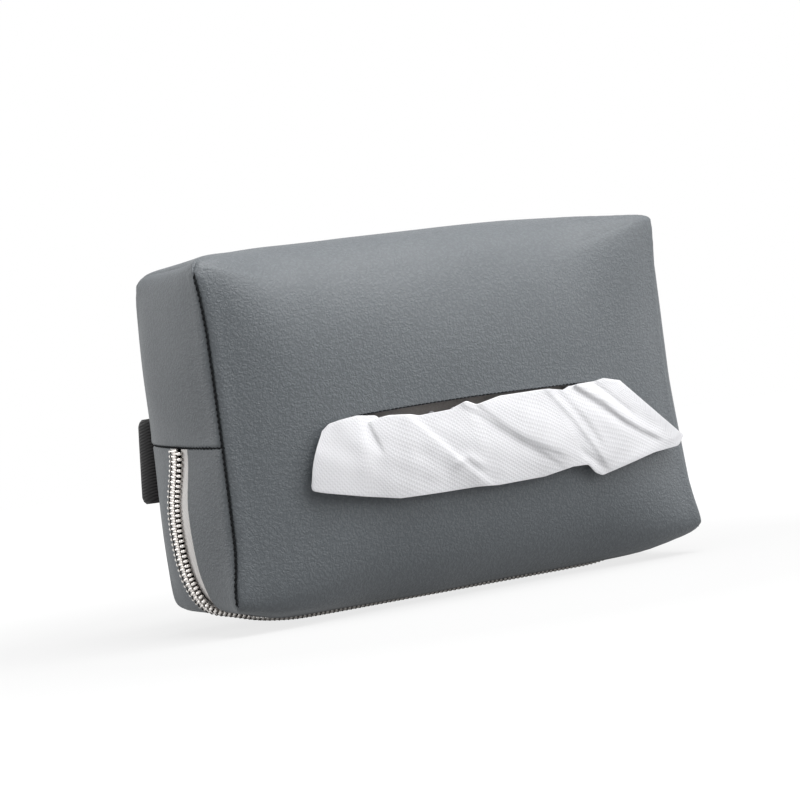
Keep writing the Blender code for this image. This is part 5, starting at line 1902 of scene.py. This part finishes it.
@dataclass
class Strap:
    """The webbing strap behind the pouch, its patch, its keeper and the buckle's finish."""

    shape: PouchShape
    finishes: Finishes
    width: float = 30 * MM
    webbing: float = 1.4 * MM
    loop_half: float = 91 * MM
    loop_gap: float = 11 * MM
    drop: float = 6.5 * MM
    bar: float = 3.2 * MM
    bar_thick: float = 2.4 * MM
    socket_bar: float = 29.4 * MM
    plug_bar: float = 16.7 * MM
    socket_tail: float = 16 * MM
    plug_tail: float = 42 * MM
    patch_half: float = 20 * MM
    patch_margin: float = 9 * MM
    keeper_start: float = 47.5 * MM
    keeper_wall: float = 0.9 * MM
    keeper_corner: float = 0.9 * MM

    @property
    def level(self) -> float:
        """Height of the strap's middle line."""
        return self.shape.middle - self.drop

    def levels(self) -> tuple[float, float, float]:
        """Depths of the inner run, the outer run and the buckle's bars, from the pouch's middle.

        Returns:
            The three depths.
        """
        inner = self.shape.back_face + self.shape.gap + self.webbing / 2
        outer = inner + self.webbing + self.loop_gap
        return inner, outer, outer + (self.webbing + self.shape.gap) / 2

    def route(self, side: int, bar_place: float, tail: float) -> Array:
        """Route of one half of the strap in the level plane, from the patch to its free end.

        Args:
            side: -1 left, 1 right.
            bar_place: place of the buckle's bar.
            tail: length of the free end.

        Returns:
            Points of the route.
        """
        inner, outer, bar = self.levels()
        turn = (outer - inner) / 2
        turn_x = self.loop_half - self.webbing / 2 - turn
        wrap = math.hypot(self.bar, self.bar_thick) / 2 + self.shape.gap + self.webbing / 2
        run_in = bar_place + 3 * self.bar
        line = [(self.shape.gap / 2, inner), (turn_x * 0.3, inner), (turn_x * 0.7, inner)]
        line += [(turn_x + turn * math.cos(a), (inner + outer) / 2 + turn * math.sin(a))
                 for a in np.radians(np.linspace(-90, 90, 22))]
        line += [((turn_x + run_in) / 2, outer), (run_in, outer), ((run_in + bar_place) / 2, outer - wrap / 3)]
        line += [(bar_place + wrap * math.cos(a), bar + wrap * math.sin(a))
                 for a in np.radians(np.linspace(270, 90, 16))]
        back = 2 * bar - outer
        line += [((run_in + bar_place) / 2, back + wrap / 3), (run_in, back), (run_in + tail, back)]
        points = np.array(line)
        points[:, 0] *= side
        length = run_length(points)
        even = np.linspace(0, length[-1], 230)
        return read_along(even, length, points)

    def web(self, name: str, node: str, side: int, bar_place: float, tail: float) -> Piece:
        """One half of the strap.

        Args:
            name: name of the piece.
            node: node that it replaces.
            side: -1 left, 1 right.
            bar_place: place of the buckle's bar.
            tail: length of the free end.

        Returns:
            The strap half.
        """
        shape = self.shape
        route = self.route(side, bar_place, tail)
        heights = self.level + np.array([-15, -14.7, -14, -12.8, -8, 0, 8, 12.8, 14, 14.7, 15]) * MM
        curl = np.array([2.2, 1.2, 0.5, 0.05, 0, 0, 0, 0.05, 0.5, 1.2, 2.2]) * MM
        grid = np.zeros((len(route), len(heights), 3))
        grid[:, :, 0] = route[:, None, 0] - shape.shift_x
        grid[:, :, 1] = route[:, None, 1] - shape.shift_y
        skew = ease((-route[:, 0] - 50 * MM) / (40 * MM)) * (side < 0)
        grid[:, :, 2] = heights[None, :] + 2.5 * MM * skew[:, None]
        grid[:, :, 0] -= (0.4 * MM + 0.09 * (self.level + 15 * MM - heights[None, :])) * skew[:, None]
        bend = np.clip((np.abs(route[:, 0]) - self.loop_half + 9 * MM) / (7 * MM), 0, 1) ** 2
        grid[:, :, 0] -= side * curl[None, :] * bend[:, None]
        length = run_length(route)
        uv = pattern_map(length, heights)
        piece = thin_solid(name, grid, self.webbing, uv, rounded=True)
        return place(piece, self.finishes.webbing, Body.POUCH, "webbing", node)

    def patch(self) -> list[Piece]:
        """The leather patch over the strap's sewn ends, and its stitches.

        Returns:
            The patch and its stitches.
        """
        shape = self.shape
        half = self.width / 2 + shape.gap
        step = self.webbing + shape.gap
        edge = half + self.patch_margin
        lows = np.array([-edge, -edge + 0.8 * MM, -edge + 3 * MM, -half - 2.4 * step, -half - step, -half - 0.4 * step,
                         -half, -8 * MM, 0, 8 * MM, half, half + 0.4 * step, half + step, half + 2.4 * step,
                         edge - 3 * MM, edge - 0.8 * MM, edge])
        rise = np.interp(np.abs(lows), [0, half, half + step, edge], [step, step, 0, 0])
        xs = np.linspace(-self.patch_half, self.patch_half, 31)
        grid = np.zeros((len(xs), len(lows), 3))
        for j, (low, up) in enumerate(zip(lows, rise)):
            foot = shape.skin(2 * xs / shape.seam_span, 1.0, 2 * (low - self.drop) / shape.seam_height)
            level = shape.back_face - shape.shift_y
            blend = up / step
            grid[:, j, 0] = foot[:, 0]
            grid[:, j, 1] = (1 - blend) * foot[:, 1] + blend * level + shape.gap + up + shape.leather / 2
            grid[:, j, 2] = foot[:, 2]
        patch = thin_solid("back_patch", grid, shape.leather)
        bevel = patch.modifiers.new("soft_edge", "BEVEL")
        bevel.width = 0.3 * MM
        bevel.segments = 2
        bevel.limit_method = "ANGLE"
        bevel.angle_limit = math.radians(50)
        place(patch, self.finishes.leather, Body.POUCH, "leather", "strap_patch")
        return [patch] + self.patch_stitches(grid)

    def patch_stitches(self, grid: Array) -> list[Piece]:
        """Two rows of stitches round the patch's upper and lower borders and across the strap.

        Args:
            grid: the patch's middle surface.

        Returns:
            The stitches.
        """
        repeat = PathRepeat()
        out = np.array([0.0, 1.0, 0.0])
        half = self.shape.leather / 2
        lines = []
        for j in (2, -3):
            lines.append(grid[2:-2, j] + out * (half + 0.03 * MM))
        for i in (2, -3):
            lines.append(grid[i, 2:-2] + out * (half + 0.03 * MM))
        middle = grid.shape[1] // 2
        low, high = grid[6, middle - 2] + out * half, grid[-7, middle + 2] + out * half
        cross = [(low, high), (grid[6, middle + 2] + out * half, grid[-7, middle - 2] + out * half)]
        for start, stop in cross:
            lines.append(np.linspace(start, stop, 30) + out * 0.05 * MM)
        parts = [repeat.run(f"patch_row_{k}", line, out, stitch_shape(2.2 * MM, 0.28 * MM), 3.0 * MM,
                            self.finishes.dark_thread_and_gap_shade) for k, line in enumerate(lines)]
        made = join_pieces("patch_stitches", parts)
        return [place(made, self.finishes.dark_thread_and_gap_shade, Body.POUCH, "leather")]

    def keeper(self) -> Piece:
        """The elastic loop round the strap and its tail.

        Returns:
            The keeper.
        """
        shape = self.shape
        _, outer, bar = self.levels()
        back = 2 * bar - outer
        wall, corner = self.keeper_wall, self.keeper_corner
        low_y = outer - self.webbing / 2 - shape.gap - wall / 2
        high_y = back + self.webbing / 2 + shape.gap + wall / 2
        half = self.width / 2 + shape.gap + wall / 2
        ring = []
        for cy, cz, first in ((high_y, half, 0), (low_y, half, 90), (low_y, -half, 180), (high_y, -half, 270)):
            sy = 1 if cy == high_y else -1
            sz = 1 if cz > 0 else -1
            for a in np.radians(np.linspace(first, first + 90, 5)):
                ring.append((cy - sy * corner + corner * math.cos(a), cz - sz * corner + corner * math.sin(a)))
        ring = np.array(ring)
        ends = np.roll(ring, -1, axis=0)
        dense = np.concatenate([np.linspace(a, b, 5)[:-1] if np.linalg.norm(b - a) > 2 * MM else a[None]
                                for a, b in zip(ring, ends)])
        closed = np.concatenate([dense, dense[:1]])
        xs = self.keeper_start + np.array([0, 0.5, 2, 5, 8, 9.5, 10]) * MM
        normal = np.gradient(closed, axis=0)
        normal[0] = normal[-1] = closed[1] - closed[-2]
        normal = np.stack([normal[:, 1], -normal[:, 0]], axis=1)
        normal /= np.linalg.norm(normal, axis=1, keepdims=True)
        around = len(dense)
        shells = []
        for sign in (1, -1):
            shell = dense + sign * normal[:-1] * wall / 2
            for x in xs:
                shells.append(np.stack([np.full(around, x - shape.shift_x), shell[:, 0] - shape.shift_y,
                                        shell[:, 1] + self.level], axis=1))
        order = list(range(len(xs))) + [len(xs) + k for k in reversed(range(len(xs)))]
        points = np.array([shells[k] for k in order])
        rows = len(order)
        faces = [(i * around + k, i * around + (k + 1) % around, ((i + 1) % rows) * around + (k + 1) % around,
                  ((i + 1) % rows) * around + k) for i in range(rows) for k in range(around)]
        lengths = run_length(dense)
        uv = np.array([[(lengths[k], xs[order[i] % len(xs)]) for k in range(around)] for i in range(rows)])
        piece = outward_faces(mesh_piece("elastic_keeper", points.reshape(-1, 3), faces, uv.reshape(-1, 2), 50))
        return place(piece, self.finishes.webbing, Body.KEEPER, "webbing", "strap_keeper")

    def build(self) -> list[Piece]:
        """Make the strap's pieces.

        Returns:
            All pieces of the strap.
        """
        pieces = [self.web("strap_half_socket", "strap_socket_side", -1, self.socket_bar, self.socket_tail),
                  self.web("strap_half_plug", "strap_plug_side", 1, self.plug_bar, self.plug_tail)]
        return pieces + self.patch() + [self.keeper()]


@dataclass
class Studio:
    """The camera at the photograph's angle, a white floor and soft lamps."""

    shape: PouchShape
    eye: tuple[float, float, float] = (-370.92, -709.05, -0.49)
    yaw_deg: float = 27.114
    pitch_deg: float = 0.402
    roll_deg: float = -8.170
    focal_px: float = 2200.0
    image_px: float = 800.0
    sky: float = 0.2
    table_light: float = 0.35
    shade_box: tuple[float, float, float] = (0.085, 0.02, 0.0)
    shade_reach: float = 0.015

    def camera(self) -> None:
        """Set up the camera."""
        yaw, pitch, roll = (math.radians(a) for a in (self.yaw_deg, self.pitch_deg, self.roll_deg))
        look = Vector((math.sin(yaw) * math.cos(pitch), math.cos(yaw) * math.cos(pitch), math.sin(pitch)))
        right = Vector((math.cos(yaw), -math.sin(yaw), 0))
        up = right.cross(look)
        turned_right = math.cos(roll) * right + math.sin(roll) * up
        turned_up = -math.sin(roll) * right + math.cos(roll) * up
        data = bpy.data.cameras.new("view")
        data.sensor_width = 36.0
        data.lens = 36.0 * self.focal_px / self.image_px
        data.clip_end = 20.0
        camera = linked("view", data)
        spot = Vector(self.eye) * MM + Vector((-self.shape.shift_x, -self.shape.shift_y, self.shape.middle))
        basis = Matrix((turned_right, turned_up, -look)).transposed().to_4x4()
        camera.matrix_world = Matrix.Translation(spot) @ basis
        bpy.context.scene.camera = camera

    def floor(self) -> None:
        """A pale floor that keeps a soft shadow and looks white."""
        half = 3.0
        points = np.array([(-half, -half, 0), (half, -half, 0), (half, half, 0), (-half, half, 0)])
        floor = mesh_piece("studio_floor", points, [(0, 1, 2, 3)])
        made, tree, shader = new_material("white_floor_paper", {
            "Base Color": linear("#606060"), "Roughness": 0.9, "Specular IOR Level": 0.0})
        paths = add_node(tree, "ShaderNodeLightPath")
        spot = add_node(tree, "ShaderNodeTexCoord").outputs["Object"]
        far = add_node(tree, "ShaderNodeVectorMath", {"operation": "LENGTH"}, {0: spot})
        fade = add_node(tree, "ShaderNodeMapRange", {1: 0.16, 2: 0.5, 3: 0.78, 4: 1.0}, {0: far.outputs["Value"]})
        # the glow that lights the pouch and shows in its reflections drops to a quarter over shade_box and up to
        # shade_reach beyond it: a painted shadow under the pouch
        off = add_node(tree, "ShaderNodeVectorMath", {"operation": "ABSOLUTE"}, {0: spot})
        off = add_node(tree, "ShaderNodeVectorMath", {"operation": "SUBTRACT", 1: self.shade_box},
                       {0: off.outputs[0]})
        off = add_node(tree, "ShaderNodeVectorMath", {"operation": "MAXIMUM", 1: (0.0, 0.0, 0.0)}, {0: off.outputs[0]})
        off = add_node(tree, "ShaderNodeVectorMath", {"operation": "LENGTH"}, {0: off.outputs[0]})
        shade = add_node(tree, "ShaderNodeMapRange", {1: 0.0, 2: self.shade_reach, 3: 0.25, 4: 1.0},
                         {0: off.outputs["Value"]})
        mirror = add_node(tree, "ShaderNodeMath", {"operation": "MAXIMUM"},
                          {0: paths.outputs["Is Glossy Ray"], 1: paths.outputs["Is Transmission Ray"]})
        mirror = add_node(tree, "ShaderNodeMath", {"operation": "MULTIPLY_ADD", 1: self.table_light},
                          {0: paths.outputs["Is Diffuse Ray"], 2: mirror.outputs[0]})
        mirror = add_node(tree, "ShaderNodeMath", {"operation": "MULTIPLY"},
                          {0: mirror.outputs[0], 1: shade.outputs[0]})
        seen = add_node(tree, "ShaderNodeMath", {"operation": "MAXIMUM"},
                        {0: paths.outputs["Is Camera Ray"], 1: mirror.outputs[0]})
        lit = add_node(tree, "ShaderNodeMath", {"operation": "MULTIPLY"}, {0: seen.outputs[0], 1: fade.outputs[0]})
        glow = add_node(tree, "ShaderNodeEmission", {"Color": (1, 1, 1, 1)}, {"Strength": lit.outputs[0]})
        added = add_node(tree, "ShaderNodeAddShader", links={0: shader.outputs[0], 1: glow.outputs[0]})
        tree.links.new(added.outputs[0], tree.nodes["Material Output"].inputs["Surface"])
        dress(floor, made)

    def world(self) -> None:
        """Soft sky for the light, white where the camera and reflections look."""
        world = bpy.data.worlds.new("studio")
        bpy.context.scene.world = world
        world.use_nodes = True
        tree = world.node_tree
        paths = add_node(tree, "ShaderNodeLightPath")
        seen = add_node(tree, "ShaderNodeMath", {"operation": "MAXIMUM"},
                        {0: paths.outputs["Is Camera Ray"], 1: paths.outputs["Is Glossy Ray"]})
        seen = add_node(tree, "ShaderNodeMath", {"operation": "MAXIMUM"},
                        {0: seen.outputs[0], 1: paths.outputs["Is Transmission Ray"]})
        soft = add_node(tree, "ShaderNodeBackground", {"Color": (1, 1, 1, 1), "Strength": self.sky})
        white = add_node(tree, "ShaderNodeBackground", {"Color": (1, 1, 1, 1), "Strength": 1.0})
        mixed = add_node(tree, "ShaderNodeMixShader",
                         links={0: seen.outputs[0], 1: soft.outputs[0], 2: white.outputs[0]})
        tree.links.new(mixed.outputs[0], tree.nodes["World Output"].inputs["Surface"])

    def lamp(self, name: str, spot: tuple[float, float, float], aim: tuple[float, float, float], size: float,
             watts: float) -> None:
        """A square soft box.

        Args:
            name: name of the lamp.
            spot: place of the lamp.
            aim: point that it faces.
            size: length of its side.
            watts: its power.
        """
        data = bpy.data.lights.new(name, "AREA")
        data.energy = watts
        data.size = size
        lamp = linked(name, data)
        lamp.location = spot
        lamp.rotation_euler = (Vector(aim) - Vector(spot)).to_track_quat("-Z", "Y").to_euler()

    def build(self) -> None:
        """Set the stage."""
        self.camera()
        self.floor()
        self.world()
        self.lamp("overhead", (0.12, -0.3, 1.15), (0, 0, 0.06), 1.0, 17.5)
        self.lamp("front_soft", (0.6, -1.0, 0.95), (0, 0, 0.06), 1.3, 13.5)
        self.lamp("front_low", (1.1, -0.6, 0.12), (0, 0, 0.04), 0.9, 7.0)
        self.lamp("left_rim", (-1.15, 0.5, 0.45), (0, 0, 0.06), 0.8, 6.2)
        bpy.context.scene.view_settings.view_transform = "Standard"


def dress_nodes(nodes: dict[str, Piece], finishes: Finishes) -> None:
    """Give the rigid nodes that stay their finishes.

    Args:
        nodes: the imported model's nodes by name.
        finishes: the holder's materials.
    """
    for name in ("buckle_socket", "buckle_plug", "buckle_arm_upper", "buckle_arm_lower"):
        dress(nodes[name], finishes.acetal)
    for name in ("zipper_slider", "zipper_pull"):
        dress(nodes[name], finishes.zinc)


def main() -> None:
    """Build the holder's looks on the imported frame."""
    logging.basicConfig(level=logging.INFO, format="%(message)s")
    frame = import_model()
    shape, slot, finishes = PouchShape(), Slot(), Finishes()
    Studio(shape).build()
    dress_nodes(frame["nodes"], finishes)
    for part in (LeatherCover(shape, slot, finishes), SlotFacing(shape, slot, finishes), Zip(shape, finishes),
                 SeamBindings(shape, finishes), Refill(shape, finishes), TissueSheet(shape, slot, finishes),
                 Strap(shape, finishes)):
        LOG.info("%s: %d pieces", type(part).__name__, len(part.build()))


if __name__ == "__main__":
    main()
